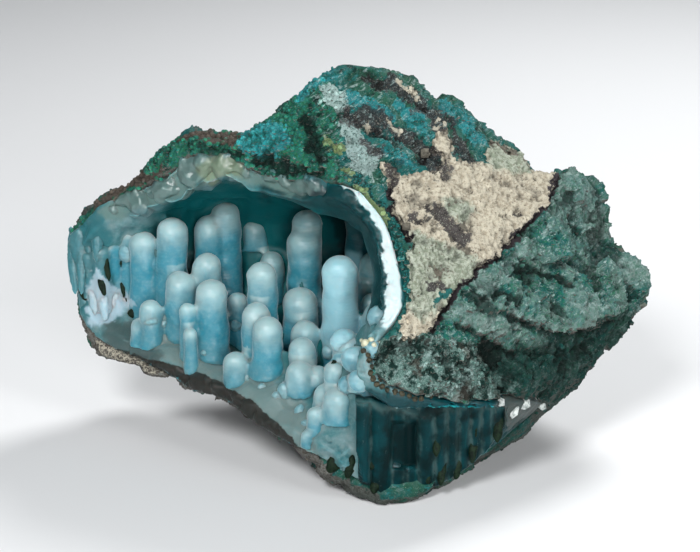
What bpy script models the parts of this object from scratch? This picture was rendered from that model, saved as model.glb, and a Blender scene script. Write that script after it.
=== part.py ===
# Chrysocolla specimen: a broken vug of green rock, lined with milky chalcedony
# and floored with a forest of finger-like stalagmites.
# The lists below are in millimetres, and MM turns them into metres.
# X runs to the right, Y away from the open side, Z up. The base lies on Z = 0.

import math

import bmesh
import bpy
from mathutils import Matrix, Vector, noise

MM = 0.001

# Driving dimensions
ORIGIN = (1.1, 8.7, 0.0)
LINING_GAP = 0.35
LINING_THICKNESS = 1.9
ROCK_VOXEL = 1.3
ROCK_TRIANGLES = 4000
CAVITY_VOXEL = 1.6
CAVITY_TRIANGLES = 1000
CRUST_VOXEL = 0.5
CRUST_TRIANGLES = 7400
CUT_MARGIN = 1.2
ROCK_COLOUR = (0.16, 0.3, 0.27)
CRUST_COLOUR = (0.5, 0.77, 0.82)

# Corners of the convex blocks that the broken rock is made of
ROCK_BLOCKS = [
    # top of the lump on the right
    [(33.5, 10, 45.6), (36, 14, 45.8), (40, 17, 42), (42.3, 18, 37.5), (42.3, 18, 33.4),
     (23, -5, 36), (12, -16, 31.5), (3.5, -20, 27), (3.0, -22, 21), (7.5, -23, 19), (18, -20, 18),
     (26, -12, 17), (40, 6, 16.5), (33, 30, 39), (30, 31, 12), (38, 28, 30)],
    # right end of the lump
    [(41.3, 16, 33.2), (45, 15.5, 30.2), (48, 15, 28), (49, 14, 24.6), (47.2, 12, 21.5),
     (40, 6, 17), (35.5, 3, 12.8), (33, -4, 14.5), (26, -12, 17), (23, -5, 34), (12, -16, 29),
     (45, 23, 23), (40, 30, 28), (30, 31, 9)],
    # crown
    [(-9.8, 7, 57.6), (-4.8, 7, 60.8), (2, 8, 62.5), (9, 9, 61.5), (12, 11, 58), (-4, -4, 48.5),
     (1, -7, 46), (5, -11, 41), (8, -14, 35), (5, -20, 27.5), (12, -16, 31.5), (20, -3, 38),
     (4, 27, 54), (-12, 22, 50), (18, 31, 42), (-10, 34, 38), (0, 36, 20), (25, 33, 25),
     (-13, 8, 54)],
    # peak of the crown
    [(-2.6, 8.5, 64.1), (-3.6, 7, 60.5), (2.5, 8, 64), (8.3, 8, 62.6), (11.2, 10, 61.5),
     (12.8, 11, 57), (3, -2, 52), (3, 16, 58), (10, 15, 56), (-2, 14, 57)],
    # shoulder between the crown and the lump
    [(12, 9, 58.6), (17.3, 10, 56.8), (19.6, 13, 53.4), (20.5, 16, 49.4), (25.2, 19, 47.7),
     (28.5, 18, 45), (31, 12, 42.5), (23, -5, 35), (12, -16, 31.5), (5, -11, 41), (8, 20, 54),
     (18, 31, 42), (25, 33, 25)],
    # left end of the roof
    [(-47.2, 20, 31.5), (-47, 20.5, 27), (-45, 19, 34.6), (-41.5, 18, 36.6), (-37, 15, 42.4),
     (-33, 15, 43.8), (-42, 27, 32), (-44, 27, 24), (-28, 31, 38), (-30, 15, 38)],
    # left part of the roof
    [(-34, 14.5, 41), (-32.3, 15, 45.5), (-30, 15, 48.4), (-27, 14, 50.6), (-21, 11, 50.6),
     (-33, 12, 41.5), (-27, 8, 47), (-22, 5, 49), (-28, 31, 39), (-16, 28, 45), (-10, 2, 48.5),
     (-10, 12, 51)],
    # middle of the roof
    [(-22, 5, 48.6), (-10, -1, 49), (-4, -4, 49), (-18.5, 9, 50.6), (-14.2, 7, 53), (-10.5, 6, 56),
     (-5, 6, 58), (-10, 22, 50), (-5, 30, 48), (-20, 28, 42)],
    # back
    [(-44, 24, 30), (-42, 26, 22), (-33, 30, 14), (-10, 34, 9), (28, 31, 10), (38, 27, 28),
     (33, 31, 38), (18, 34, 43), (2, 33, 49), (-12, 31, 46), (-30, 30, 39), (-34, 20, 18),
     (-8, 24, 12), (30, 20, 14), (20, 20, 44), (-10, 20, 46), (-38, 21, 34), (-6, 40, 24),
     (20, 39, 26), (-24, 37, 26)],
    # left part of the floor
    [(-47.2, 20, 31), (-46, 20, 25.5), (-43.3, 18, 16.5), (-42.5, 15, 11.4), (-34.5, 10, 11.6),
     (-25.5, 3, 12), (-21, 0, 11.7), (-43, 26, 19), (-30, 32, 11.5), (-15, 30, 13),
     (-41, 18, 34), (-20, 0, 38), (-15, 30, 30)],
    # middle of the floor
    [(-27, 5, 12.6), (-17, -3.5, 11.4), (-9.4, -11.3, 9.6), (-8.5, -8, 40), (-10, 34, 9), (-6, 10, 7),
     (-24, 20, 12), (-24, 4, 40), (-10, 36, 28)],
    # keel that the specimen rests on
    [(-9.4, -11.3, 9.4), (-7.4, -12.8, 6), (-0.8, -15.5, 3), (5.6, -18.8, -0.5),
     (5.6, -17, -3), (14, -7, -3), (21.5, 4, -3), (27, 16, -3), (27, 31, -3), (-10, 31, -3),
     (-5, 8, -3), (16.3, -12.3, 2.6), (23, -6.5, 5.3), (30, 0.5, 10.3), (35.3, 3, 12.6),
     (32, 28, 10), (3, -22, 21), (18, -20, 17), (33, -4, 14), (-8, -8, 40), (20, 36, 20),
     (-10, 37, 28)],
]

# Ledges, seams and pits of the front: height above the block (or depth), reach, and the line it follows
RELIEF = [
    (-1.6, 2.6, [(33, 10, 44.5), (30, 5.5, 42), (26, 0.5, 38.5), (21, -7, 35), (15, -13.5, 31.5),
                 (9.5, -18.5, 28)]),
    (1.3, 4.0, [(17, -11, 32.5), (23, -8.5, 29), (29.5, -4, 25), (36, 1, 23), (43, 8.5, 22.5)]),
    (-1.9, 3.4, [(19.5, -14, 25.5), (26, -9, 22), (32.5, -3.5, 20.5), (38.5, 3, 20.5)]),
    (-2.8, 3.6, [(21, -14, 23), (22.5, -13, 20.5), (23.5, -13, 18.5)]),
    (-1.6, 3.2, [(35, 10.5, 35.5)]),
    (1.2, 3.6, [(33, 3, 30), (36, 2.5, 27)]),
    (-1.2, 1.8, [(13.5, -14, 32)]),
    (-1.6, 2.2, [(11, 0.5, 50)]),
    (1.2, 2.4, [(5, -21.5, 24.5), (9.5, -21, 21), (15.5, -19.5, 19.5)]),
    (1.0, 2.2, [(9, -20, 25.5)]),
    (1.0, 2.2, [(15, -19, 22.5)]),
    (1.0, 2.8, [(27.5, -10.5, 17.5)]),
    (0.9, 2.4, [(4.5, -3.5, 49.5), (11.5, -1.5, 48.5), (14, 2.5, 50), (20, 4.5, 46.5)]),
    (1.0, 3.4, [(-2.5, 5, 58), (-4.5, 8.5, 58.5)]),
    (0.9, 2.6, [(0, 2, 55.5), (5.5, -0.5, 52.5), (11, -0.5, 49.5)]),
    (0.9, 2.6, [(7, 7.5, 59.5), (10, 7, 56.5), (14, 4.5, 51.5)]),
    (-0.9, 2.0, [(1.5, 4, 57.5), (5.5, 2.5, 55.5), (9, 1, 52.5)]),
    (1.1, 3.0, [(-38.5, 16, 37.5)]),
    (1.1, 2.8, [(-31.5, 13.5, 44), (-27.5, 11, 48.5)]),
    (-1.0, 2.4, [(-34.5, 15.5, 42.5)]),
    (1.0, 2.8, [(-16, 4.5, 50.5)]),
    (1.2, 3.2, [(-12, 4, 53)]),
    (1.2, 3.0, [(-9, 0.5, 50)]),
    (1.2, 2.8, [(-5, -2.5, 50)]),
    (-1.2, 2.2, [(-7.5, 4.5, 54.5), (-9, 2.5, 52.5)]),
    (-1.0, 2.2, [(-3.5, -0.5, 53.5), (-4, 3, 56)]),
    (0.8, 2.4, [(6.5, -10, 40), (8, -15, 34)]),
    (-1.5, 2.5, [(22, 15, 49.5)]),
]

# The hollow: two wedges that open to the front left and under the lump, and a rounded inside
UPPER_MOUTH = [
    (-45.8, 21, 31.5), (-45.5, 20.5, 25), (-42.8, 18, 17.2), (-41, 19, 36.5), (-37.5, 17, 39.3),
    (-29, 10.5, 44.8), (-25.5, 8, 47.4), (-22.4, 6, 48.4), (-18, 3.5, 48.3), (-9, -1.5, 46.8),
    (-3, -5, 46.8), (1.8, -7, 45), (4.7, -10, 41), (6.5, -12.5, 36.8), (6.9, -16, 31.5),
    (4.3, -19, 27.5), (1.5, -22, 22), (-1, -17, 4.8), (-7.8, -12.6, 9.9), (-17, -4, 13.6),
    (-24.5, 3, 15.2), (-34, 10.5, 14.8), (-41, 16, 15),
]
LOWER_MOUTH = [
    (2, -22, 22), (7, -23, 18.3), (18, -20, 17), (26, -12, 15.5), (32, -4, 13), (29.3, -1, 9.3),
    (23, -8, 5.5), (17, -13, 3), (9, -17, 1.8), (5.6, -18, 1.4), (-1, -15, 3.8),
]
MOUTH_OUT = (-9, -12, 0)
MOUTH_DEPTH = (6, 8, 0)
MOUTH_NARROWING = 0.35
UPPER_CENTRE = (-8, 13, 27)
LOWER_CENTRE = (12, 4, 14)
HOLLOW_BLOBS = [
    ((-12, 9, 29), (30, 17, 17.5)),
    ((3, 9, 27), (19, 18, 18)),
    ((12, 4, 15), (16, 15, 11.5)),
    ((-28, 15, 26), (14, 9, 12)),
]

# Stalagmites: x, y, height of the tip and radius
STALAGMITES = [
    (-44.0, 20.0, 33.8, 2.0), (-42.2, 18.5, 29.5, 1.5), (-40.3, 17.5, 30.7, 1.5),
    (-38.7, 19.0, 33.3, 1.3), (-36.0, 20.0, 33.5, 2.1), (-33.4, 17.5, 32.9, 2.2),
    (-33.0, 23.0, 33.9, 2.1), (-28.6, 16.0, 35.7, 2.5), (-27.2, 12.0, 27.9, 2.5),
    (-22.9, 14.0, 30.4, 2.4), (-22.0, 8.5, 27.7, 2.5), (-20.3, 21.0, 36.9, 2.5),
    (-23.0, 19.5, 35.0, 2.2), (-15.8, 25.0, 33.3, 2.3), (-13.9, 7.0, 31.1, 2.4),
    (-14.8, 3.5, 25.5, 2.3), (-12.9, 0.0, 24.4, 2.4), (-18.0, 0.5, 18.4, 1.9),
    (-18.2, 14.0, 23.7, 1.8), (-12.8, 22.0, 28.1, 2.0), (-6.9, 16.0, 37.0, 2.4),
    (-7.5, 15.0, 34.3, 2.8), (-8.0, 9.5, 26.0, 2.8), (-7.1, 4.5, 22.2, 2.3),
    (-7.5, -1.0, 21.3, 2.2), (-7.9, -4.5, 18.6, 2.3), (-5.0, -4.0, 17.7, 1.8),
    (-1.6, 4.0, 33.1, 2.8), (2.1, 12.0, 26.4, 1.3), (3.5, 9.0, 25.2, 1.9),
    (4.4, 3.0, 25.8, 2.5), (0.3, -6.0, 23.7, 2.9), (2.7, -10.0, 23.8, 2.6),
    (-3.8, -9.0, 16.6, 1.8), (-1.7, -12.0, 17.1, 2.4), (-5.3, -11.5, 13.8, 1.4),
    (-6.6, -12.0, 10.2, 0.9), (1.6, 20.0, 36.9, 2.4), (5.5, 17.0, 36.1, 2.1),
    (3.8, 14.0, 30.6, 2.4), (-32.0, 11.0, 23.5, 1.8), (-33.8, 12.0, 20.1, 1.6),
    (-25.8, 7.0, 24.3, 1.3), (-25.3, 5.0, 20.8, 1.1), (-3.2, 14.0, 22.5, 2.4),
]
# Columns under the lump that have grown into a curtain
CURTAIN = [
    (2.2, -15.8, 15.4, 1.5), (5.2, -15.4, 30, 1.7), (9.0, -10.0, 30, 3.2), (13.0, -14.4, 30, 2.0),
    (16.0, -12.6, 30, 2.0), (19.0, -10.4, 30, 1.9), (21.8, -7.8, 30, 1.8), (24.4, -5.2, 30, 1.9),
    (27.0, -2.2, 30, 2.0), (29.5, 1.0, 30, 2.0),
]
# Finger-like growths that are fused where the curtain meets the forest
CLUSTER = [
    (-2.2, -9.5, 20.6, 1.8), (5.0, -11.0, 26.4, 2.2), (1.2, -12.6, 20.2, 1.8),
    (4.0, -14.0, 21.6, 2.2), (5.6, -15.2, 18.4, 2.0),
]
# Rounded lobes that hang along the roof's edge and from the ceiling: centre and radii
LOBES = [
    ((-38.3, 17.5, 37.4), (2.6, 2.2, 2.4)), ((-34.7, 15.0, 38.8), (2.8, 2.4, 2.6)),
    ((-31.7, 13.0, 40.6), (2.4, 2.2, 2.2)), ((-28.4, 9.5, 42.6), (3.2, 2.6, 2.6)),
    ((-25.6, 7.0, 44.4), (2.4, 2.4, 2.2)), ((-22.8, 5.0, 46.0), (3.0, 2.6, 2.8)),
    ((-18.4, 3.0, 46.9), (2.6, 2.4, 2.4)), ((-14.6, 2.5, 46.0), (2.6, 2.4, 2.2)),
    ((-10.8, 2.5, 45.6), (2.4, 2.4, 2.2)), ((-6.8, 5.0, 43.8), (2.8, 2.8, 2.8)),
    ((-2.4, 8.0, 44.0), (3.0, 2.8, 2.8)), ((-1.0, -3.0, 45.2), (2.2, 2.0, 2.2)),
    ((10.5, -13.5, 15.5), (3.4, 2.4, 2.4)), ((16.5, -10.5, 14.0), (3.2, 2.4, 2.2)),
    ((22.5, -6.0, 13.0), (3.0, 2.4, 2.2)),
]


def clear_scene():
    for obj in list(bpy.data.objects):
        bpy.data.objects.remove(obj, do_unlink=True)


def link(name, mesh):
    obj = bpy.data.objects.new(name, mesh)
    bpy.context.scene.collection.objects.link(obj)
    return obj


def mesh_from(bm, name):
    bmesh.ops.recalc_face_normals(bm, faces=bm.faces)
    mesh = bpy.data.meshes.new(name)
    bm.to_mesh(mesh)
    bm.free()
    return mesh


def add_hull(bm, corners):
    verts = [bm.verts.new(Vector(c) * MM) for c in corners]
    made = bmesh.ops.convex_hull(bm, input=verts)
    inside = {v for v in made["geom_interior"] if isinstance(v, bmesh.types.BMVert)}
    bmesh.ops.delete(bm, geom=list(inside), context="VERTS")


def add_ellipsoid(bm, centre, radii):
    made = bmesh.ops.create_icosphere(bm, subdivisions=3, radius=1.0)
    for vert in made["verts"]:
        vert.co = Vector(c + r * p for c, r, p in zip(centre, radii, vert.co)) * MM


def evaluated_mesh(obj):
    bpy.context.view_layer.update()
    graph = bpy.context.evaluated_depsgraph_get()
    return bpy.data.meshes.new_from_object(obj.evaluated_get(graph))


def with_modifier(mesh, kind, **settings):
    """A copy of the mesh with one modifier applied."""
    obj = link("work", mesh)
    modifier = obj.modifiers.new(kind, kind)
    for name, value in settings.items():
        setattr(modifier, name, value)
    made = evaluated_mesh(obj)
    bpy.data.objects.remove(obj)
    return made


def remeshed(mesh, voxel):
    return with_modifier(mesh, "REMESH", mode="VOXEL", voxel_size=voxel * MM)


def decimated(mesh, triangles):
    mesh.calc_loop_triangles()
    ratio = min(1.0, triangles / len(mesh.loop_triangles))
    return with_modifier(mesh, "DECIMATE", ratio=ratio, use_collapse_triangulate=True)


def inset(mesh, depth):
    return with_modifier(mesh, "DISPLACE", strength=-depth * MM, mid_level=0.0)


def combined(mesh, other, operation):
    helper = link("helper", other)
    made = with_modifier(mesh, "BOOLEAN", object=helper, operation=operation, solver="EXACT")
    bpy.data.objects.remove(helper)
    return made


def roughen(mesh, amount):
    """Moves each vertex along its normal by amount(point in mm), in mm."""
    normals = [v.normal.copy() for v in mesh.vertices]
    for vert, normal in zip(mesh.vertices, normals):
        vert.co += normal * amount(vert.co / MM) * MM


def distance_to_line(point, line):
    if len(line) == 1:
        return (point - Vector(line[0])).length
    nearest = 1e9
    for start, end in zip(line, line[1:]):
        start = Vector(start)
        along = Vector(end) - start
        share = min(1.0, max(0.0, (point - start).dot(along) / along.length_squared))
        nearest = min(nearest, (point - start - along * share).length)
    return nearest


def rock_relief(point):
    broad = noise.fractal(point / 11.0, 1.0, 2.0, 3)
    near, far = noise.voronoi(point / 7.0)[0][:2]
    height = 0.8 * broad + 1.1 * (far - near) - 0.6
    for rise, reach, line in RELIEF:
        share = distance_to_line(point, line) / reach
        if share < 1.0:
            height += rise * (1.0 - share * share) ** 2
    return height


def hollow_relief(point):
    near = noise.voronoi(point / 6.5)[0][0]
    return 0.7 * noise.noise(point / 9.0) - 0.9 * max(0.0, 0.55 - near)


def lining_relief(point):
    near = noise.voronoi(point / 4.0)[0][0]
    return 0.8 * noise.noise(point / 6.0) - 0.9 * max(0.0, 0.6 - near)


def rock_form():
    bm = bmesh.new()
    for corners in ROCK_BLOCKS:
        add_hull(bm, corners)
    for corners in (UPPER_MOUTH, LOWER_MOUTH):
        add_hull(bm, corners + [Vector(c) + Vector(MOUTH_DEPTH) for c in corners])
    mesh = remeshed(mesh_from(bm, "rock"), ROCK_VOXEL)
    roughen(mesh, rock_relief)
    mesh = decimated(remeshed(mesh, ROCK_VOXEL), ROCK_TRIANGLES)
    bm = bmesh.new()
    made = bmesh.ops.create_cube(bm, size=1.0)
    for vert in made["verts"]:
        vert.co = Vector((vert.co.x * 0.2, vert.co.y * 0.2, (vert.co.z - 0.5) * 0.02))
    return combined(mesh, mesh_from(bm, "below"), "DIFFERENCE")


def hollow_form():
    bm = bmesh.new()
    for corners, centre in ((UPPER_MOUTH, UPPER_CENTRE), (LOWER_MOUTH, LOWER_CENTRE)):
        ring = [Vector(c) for c in corners]
        outer = [c + Vector(MOUTH_OUT) for c in ring]
        inner = [c.lerp(Vector(centre), MOUTH_NARROWING) for c in ring]
        add_hull(bm, outer + ring + inner)
    for centre, radii in HOLLOW_BLOBS:
        add_ellipsoid(bm, centre, radii)
    mesh = remeshed(mesh_from(bm, "hollow"), CAVITY_VOXEL)
    roughen(mesh, hollow_relief)
    return decimated(remeshed(mesh, CAVITY_VOXEL), CAVITY_TRIANGLES)


def add_column(bm, x, y, tip, radius):
    """A finger with a round tip that widens a little towards its foot."""
    rings = 7
    sides = 16
    profile = [(radius * math.sin(a), tip - radius * (1 - math.cos(a)))
               for a in (math.pi / 2 * i / rings for i in range(1, rings + 1))]
    profile += [(radius * 1.12, tip - (tip - radius) * 0.5), (radius * 1.2, 0.0)]
    loops = []
    for r, z in profile:
        loops.append([bm.verts.new(Vector((x + r * math.cos(t), y + r * math.sin(t), z)) * MM)
                      for t in (2 * math.pi * s / sides for s in range(sides))])
    top = bm.verts.new(Vector((x, y, tip)) * MM)
    for s in range(sides):
        bm.faces.new((top, loops[0][s], loops[0][(s + 1) % sides]))
    for a, b in zip(loops, loops[1:]):
        for s in range(sides):
            n = (s + 1) % sides
            bm.faces.new((a[s], b[s], b[n], a[n]))
    bm.faces.new(loops[-1][::-1])


def largest_part(mesh):
    """The mesh without the small pieces that lie apart from the main body."""
    bm = bmesh.new()
    bm.from_mesh(mesh)
    left = set(bm.faces)
    parts = []
    while left:
        part = {left.pop()}
        edge_faces = list(part)
        while edge_faces:
            face = edge_faces.pop()
            beside = {f for e in face.edges for f in e.link_faces} & left
            left -= beside
            part |= beside
            edge_faces.extend(beside)
        parts.append(part)
    parts.sort(key=len)
    for part in parts[:-1]:
        bmesh.ops.delete(bm, geom=list(part), context="FACES")
    return mesh_from(bm, mesh.name)


def finished(name, mesh, colour, roughness):
    link(name, mesh)
    mesh.name = name
    mesh.transform(Matrix.Translation(Vector(ORIGIN) * -MM))
    material = bpy.data.materials.new(name)
    material.use_nodes = True
    shader = material.node_tree.nodes["Principled BSDF"]
    shader.inputs["Base Color"].default_value = (*colour, 1.0)
    shader.inputs["Roughness"].default_value = roughness
    shader.inputs["Metallic"].default_value = 0.0
    material.diffuse_color = (*colour, 1.0)
    mesh.materials.clear()
    mesh.materials.append(material)
    for face in mesh.polygons:
        face.use_smooth = True
        face.material_index = 0


def main():
    clear_scene()
    rock = rock_form()
    hollow = hollow_form()
    within = combined(inset(hollow.copy(), LINING_GAP), rock.copy(), "INTERSECT")
    within = largest_part(within)
    beyond = remeshed(inset(hollow.copy(), -CUT_MARGIN), CAVITY_VOXEL)
    around = remeshed(inset(rock.copy(), -CUT_MARGIN), CAVITY_VOXEL)
    inside = remeshed(inset(hollow.copy(), LINING_GAP + LINING_THICKNESS), CAVITY_VOXEL)
    roughen(inside, lining_relief)
    lining = combined(combined(beyond, around, "INTERSECT"), inside, "DIFFERENCE")
    bm = bmesh.new()
    bm.from_mesh(lining)
    for column in STALAGMITES + CURTAIN + CLUSTER:
        add_column(bm, *column)
    for centre, radii in LOBES:
        add_ellipsoid(bm, centre, radii)
    crust = remeshed(mesh_from(bm, "crust"), CRUST_VOXEL)
    crust = decimated(crust, CRUST_TRIANGLES)
    crust = largest_part(combined(crust, within, "INTERSECT"))
    finished("matrix_rock", combined(rock, hollow, "DIFFERENCE"), ROCK_COLOUR, 0.85)
    finished("chalcedony_crust", crust, CRUST_COLOUR, 0.35)


main()
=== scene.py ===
# Looks of a chrysocolla specimen: green rock around a hollow full of milky chalcedony fingers.
# Lengths in the dictionaries are in millimetres. Outlines that are seen from the front are in
# pixels of a 700 x 552 picture, and are laid on the surface that faces the camera.

import math

import bmesh
import bpy
import numpy as np
from mathutils import Matrix, Vector
from mathutils import noise as noiseField
from mathutils.bvhtree import BVHTree


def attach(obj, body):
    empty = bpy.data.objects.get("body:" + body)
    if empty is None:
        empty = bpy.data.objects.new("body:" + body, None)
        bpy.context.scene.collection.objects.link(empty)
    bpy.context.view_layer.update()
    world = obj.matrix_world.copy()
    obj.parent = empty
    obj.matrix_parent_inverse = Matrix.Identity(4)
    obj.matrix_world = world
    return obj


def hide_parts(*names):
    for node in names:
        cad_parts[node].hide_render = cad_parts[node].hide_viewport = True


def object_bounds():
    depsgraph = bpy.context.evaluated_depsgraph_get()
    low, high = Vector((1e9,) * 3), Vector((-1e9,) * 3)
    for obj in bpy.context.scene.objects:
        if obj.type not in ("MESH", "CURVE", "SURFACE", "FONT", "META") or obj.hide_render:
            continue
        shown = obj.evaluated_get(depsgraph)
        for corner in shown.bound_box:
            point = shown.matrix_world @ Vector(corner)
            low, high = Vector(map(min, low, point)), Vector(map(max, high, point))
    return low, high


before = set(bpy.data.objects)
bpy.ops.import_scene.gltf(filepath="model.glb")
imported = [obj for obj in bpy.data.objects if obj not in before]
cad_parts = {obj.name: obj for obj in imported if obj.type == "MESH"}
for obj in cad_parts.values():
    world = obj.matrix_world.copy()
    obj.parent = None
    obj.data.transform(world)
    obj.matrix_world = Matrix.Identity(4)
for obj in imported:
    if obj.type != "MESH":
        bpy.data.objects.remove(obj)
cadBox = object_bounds()

mm = 0.001
rockOrigin = Vector((1.1, 8.7, 0.0))    # the lists of places below are measured from here
noiseField.seed_set(11)                 # wander() below would differ from run to run without it

view = {
    "elevation": 18.0,
    "distance": 380.0,
    "target": (-1.1, -8.7, 31.1),
    "pixelsPerMm": 6.456,
    "middle": (350.0, 276.0),
    "sensor": 36.0,
    "frameWidth": 700.0,
}


# Small helpers for meshes

def link(name, data):
    obj = bpy.data.objects.new(name, data)
    bpy.context.scene.collection.objects.link(obj)
    return obj


def applied(obj):
    # the object's mesh as its modifiers leave it; the object is removed
    bpy.context.view_layer.update()
    graph = bpy.context.evaluated_depsgraph_get()
    mesh = bpy.data.meshes.new_from_object(obj.evaluated_get(graph))
    bpy.data.objects.remove(obj)
    return mesh


def modified(mesh, kind, **settings):
    obj = link("work", mesh)
    group = settings.pop("group", None)
    if group is not None:
        weights = obj.vertex_groups.new(name="share")
        for level in np.unique(np.round(group, 1)):
            which = np.nonzero(np.round(group, 1) == level)[0]
            weights.add(which.tolist(), float(level), "REPLACE")
        settings["vertex_group"] = "share"
    modifier = obj.modifiers.new(kind, kind)
    for name, value in settings.items():
        setattr(modifier, name, value)
    return applied(obj)


def remeshed(mesh, voxel):
    return modified(mesh, "REMESH", mode="VOXEL", voxel_size=voxel * mm)


def smoothed(mesh, rounds, factor=0.5):
    return modified(mesh, "SMOOTH", factor=factor, iterations=rounds)


def triangleCount(mesh):
    mesh.calc_loop_triangles()
    return len(mesh.loop_triangles)


def points(mesh):
    co = np.empty(len(mesh.vertices) * 3, np.float32)
    mesh.vertices.foreach_get("co", co)
    return co.reshape(-1, 3).astype(float) / mm


def normals(mesh):
    out = np.empty(len(mesh.vertices) * 3, np.float32)
    mesh.vertex_normals.foreach_get("vector", out)
    return out.reshape(-1, 3).astype(float)


def setPoints(mesh, places):
    mesh.vertices.foreach_set("co", (places * mm).astype(np.float32).ravel())
    mesh.update()


def setAttribute(mesh, name, values):
    made = mesh.attributes.get(name) or mesh.attributes.new(name, "FLOAT", "POINT")
    made.data.foreach_set("value", np.asarray(values, np.float32))


def setVectors(mesh, name, values):
    made = mesh.attributes.new(name, "FLOAT_VECTOR", "POINT")
    made.data.foreach_set("vector", np.asarray(values, np.float32).ravel())


def cadCopy(name):
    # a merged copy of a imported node's mesh
    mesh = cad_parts[name].data.copy()
    bm = bmesh.new()
    bm.from_mesh(mesh)
    bmesh.ops.remove_doubles(bm, verts=bm.verts, dist=1e-6)
    bm.to_mesh(mesh)
    bm.free()
    mesh.materials.clear()
    return mesh


def treeOf(*meshes):
    bm = bmesh.new()
    for mesh in meshes:
        bm.from_mesh(mesh)
    bmesh.ops.triangulate(bm, faces=bm.faces)
    tree = BVHTree.FromBMesh(bm)
    bm.free()
    return tree


def distances(places, tree, reach=1e9):
    # signed distance in mm of each place to a closed surface, positive outside, and its nearest point
    far = np.full(len(places), reach)
    nearest = np.array(places, float)
    for i, place in enumerate(places):
        found, normal, _, distance = tree.find_nearest(Vector(place) * mm, reach * mm)
        if found is not None:
            side = 1.0 if (Vector(place) * mm - found).dot(normal) >= 0.0 else -1.0
            far[i] = side * distance / mm
            nearest[i] = np.array(found) / mm
    return far, nearest


def insideBox(mesh):
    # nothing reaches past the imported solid's own box
    low = np.array(cadBox[0]) / mm
    high = np.array(cadBox[1]) / mm
    setPoints(mesh, np.clip(points(mesh), low, high))


def piece(name, mesh, material, node, smooth=True):
    # a finished piece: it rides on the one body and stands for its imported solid
    insideBox(mesh)
    mesh.materials.clear()
    mesh.materials.append(material)
    if smooth:
        mesh.shade_smooth()
    obj = link(name, mesh)
    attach(obj, "root")
    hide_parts(node)
    print(name, triangleCount(mesh), "triangles")
    return obj


# Where things fall on the picture, and soft outlines on it

tilt = math.radians(view["elevation"])
viewAway = Vector((0.0, math.cos(tilt), -math.sin(tilt)))
viewUp = Vector((0.0, math.sin(tilt), math.cos(tilt)))


def seen(places):
    rel = np.asarray(places, float) - np.array(view["target"])
    scale = view["pixelsPerMm"] * view["distance"] / (view["distance"] + rel @ np.array(viewAway))
    return view["middle"][0] + rel[:, 0] * scale, view["middle"][1] - (rel @ np.array(viewUp)) * scale


def sightLine(px, py):
    # the camera's place in mm and the way to a pixel of the picture
    eye = Vector(view["target"]) - viewAway * view["distance"]
    right = (px - view["middle"][0]) / view["pixelsPerMm"]
    above = (view["middle"][1] - py) / view["pixelsPerMm"]
    return eye, (viewAway * view["distance"] + Vector((right, 0.0, 0.0)) + viewUp * above).normalized()


def onSurface(px, py, tree):
    # the place in mm, and the normal, that a pixel of the picture shows on a surface
    eye, ray = sightLine(px, py)
    place, normal = tree.ray_cast(eye * mm, ray)[:2]
    return (place / mm, normal) if place is not None else (None, None)


def onPlane(px, py, place, normal):
    # where the sight line through a pixel meets a plane
    eye, ray = sightLine(px, py)
    return eye + ray * ((Vector(place) - eye).dot(normal) / ray.dot(normal))


def wander(places, size, seed):
    # smooth drift around 0 in three channels, about one swing every size mm
    shift = Vector((17.3, 5.1, 9.7)) * seed
    return np.array([noiseField.turbulence_vector(Vector(p) / size + shift, 3, False) for p in places])


def smoothstep(low, high, value):
    share = np.clip((value - low) / (high - low), 0.0, 1.0)
    return share * share * (3.0 - 2.0 * share)


def lineDistance(px, py, line):
    nearest = np.full(len(px), 1e9)
    ends = line[1:] or line
    for (ax, ay), (bx, by) in zip(line, ends):
        dx, dy = bx - ax, by - ay
        length = max(dx * dx + dy * dy, 1e-9)
        share = np.clip(((px - ax) * dx + (py - ay) * dy) / length, 0.0, 1.0)
        nearest = np.minimum(nearest, np.hypot(px - ax - share * dx, py - ay - share * dy))
    return nearest


def areaDistance(px, py, outline):
    # distance in pixels to an outline, positive inside it
    inside = np.zeros(len(px), bool)
    for (ax, ay), (bx, by) in zip(outline, outline[1:] + outline[:1]):
        crosses = (ay > py) != (by > py)
        inside ^= crosses & (px < (bx - ax) * (py - ay) / ((by - ay) or 1e-9) + ax)
    away = lineDistance(px, py, outline + outline[:1])
    return np.where(inside, away, -away)


def zoneShare(px, py, zone, thick=1.0):
    # 1 inside the zone's areas and along its lines, fading to 0 over its soft edge
    share = np.zeros(len(px))
    soft = zone.get("soft", 4.0)
    for outline in zone.get("areas", []):
        share = np.maximum(share, smoothstep(-soft, soft, areaDistance(px, py, outline)))
    for width, line in zone.get("lines", []):
        away = lineDistance(px, py, line) / np.maximum(thick, 0.15)
        share = np.maximum(share, 1.0 - smoothstep(width * 0.3, width, away))
    return share


# Small helpers for node trees, the same for shaders and Geometry Nodes

def addNode(tree, kind, inputs=None, **settings):
    node = tree.nodes.new(kind)
    for name, value in settings.items():
        setattr(node, name, value)
    for key, value in (inputs or {}).items():
        socket = node.inputs[key]
        if isinstance(value, bpy.types.NodeSocket):
            tree.links.new(value, socket)
        elif socket.type == "RGBA" and len(value) == 3:
            socket.default_value = (*value, 1.0)
        else:
            socket.default_value = value
    return node


def calc(tree, operation, *values, clamp=False):
    node = addNode(tree, "ShaderNodeMath", dict(enumerate(values)), operation=operation)
    node.use_clamp = clamp
    return node.outputs[0]


def plus(tree, a, b, clamp=False):
    return calc(tree, "ADD", a, b, clamp=clamp)


def minus(tree, a, b, clamp=False):
    return calc(tree, "SUBTRACT", a, b, clamp=clamp)


def times(tree, a, b):
    return calc(tree, "MULTIPLY", a, b)


def timesPlus(tree, a, b, c):
    return calc(tree, "MULTIPLY_ADD", a, b, c)


def centred(tree, value):
    # a pattern that swings around 0.5, brought around 0
    return minus(tree, value, 0.5)


def vectorCalc(tree, operation, *values):
    return addNode(tree, "ShaderNodeVectorMath", dict(enumerate(values)), operation=operation).outputs


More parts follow.
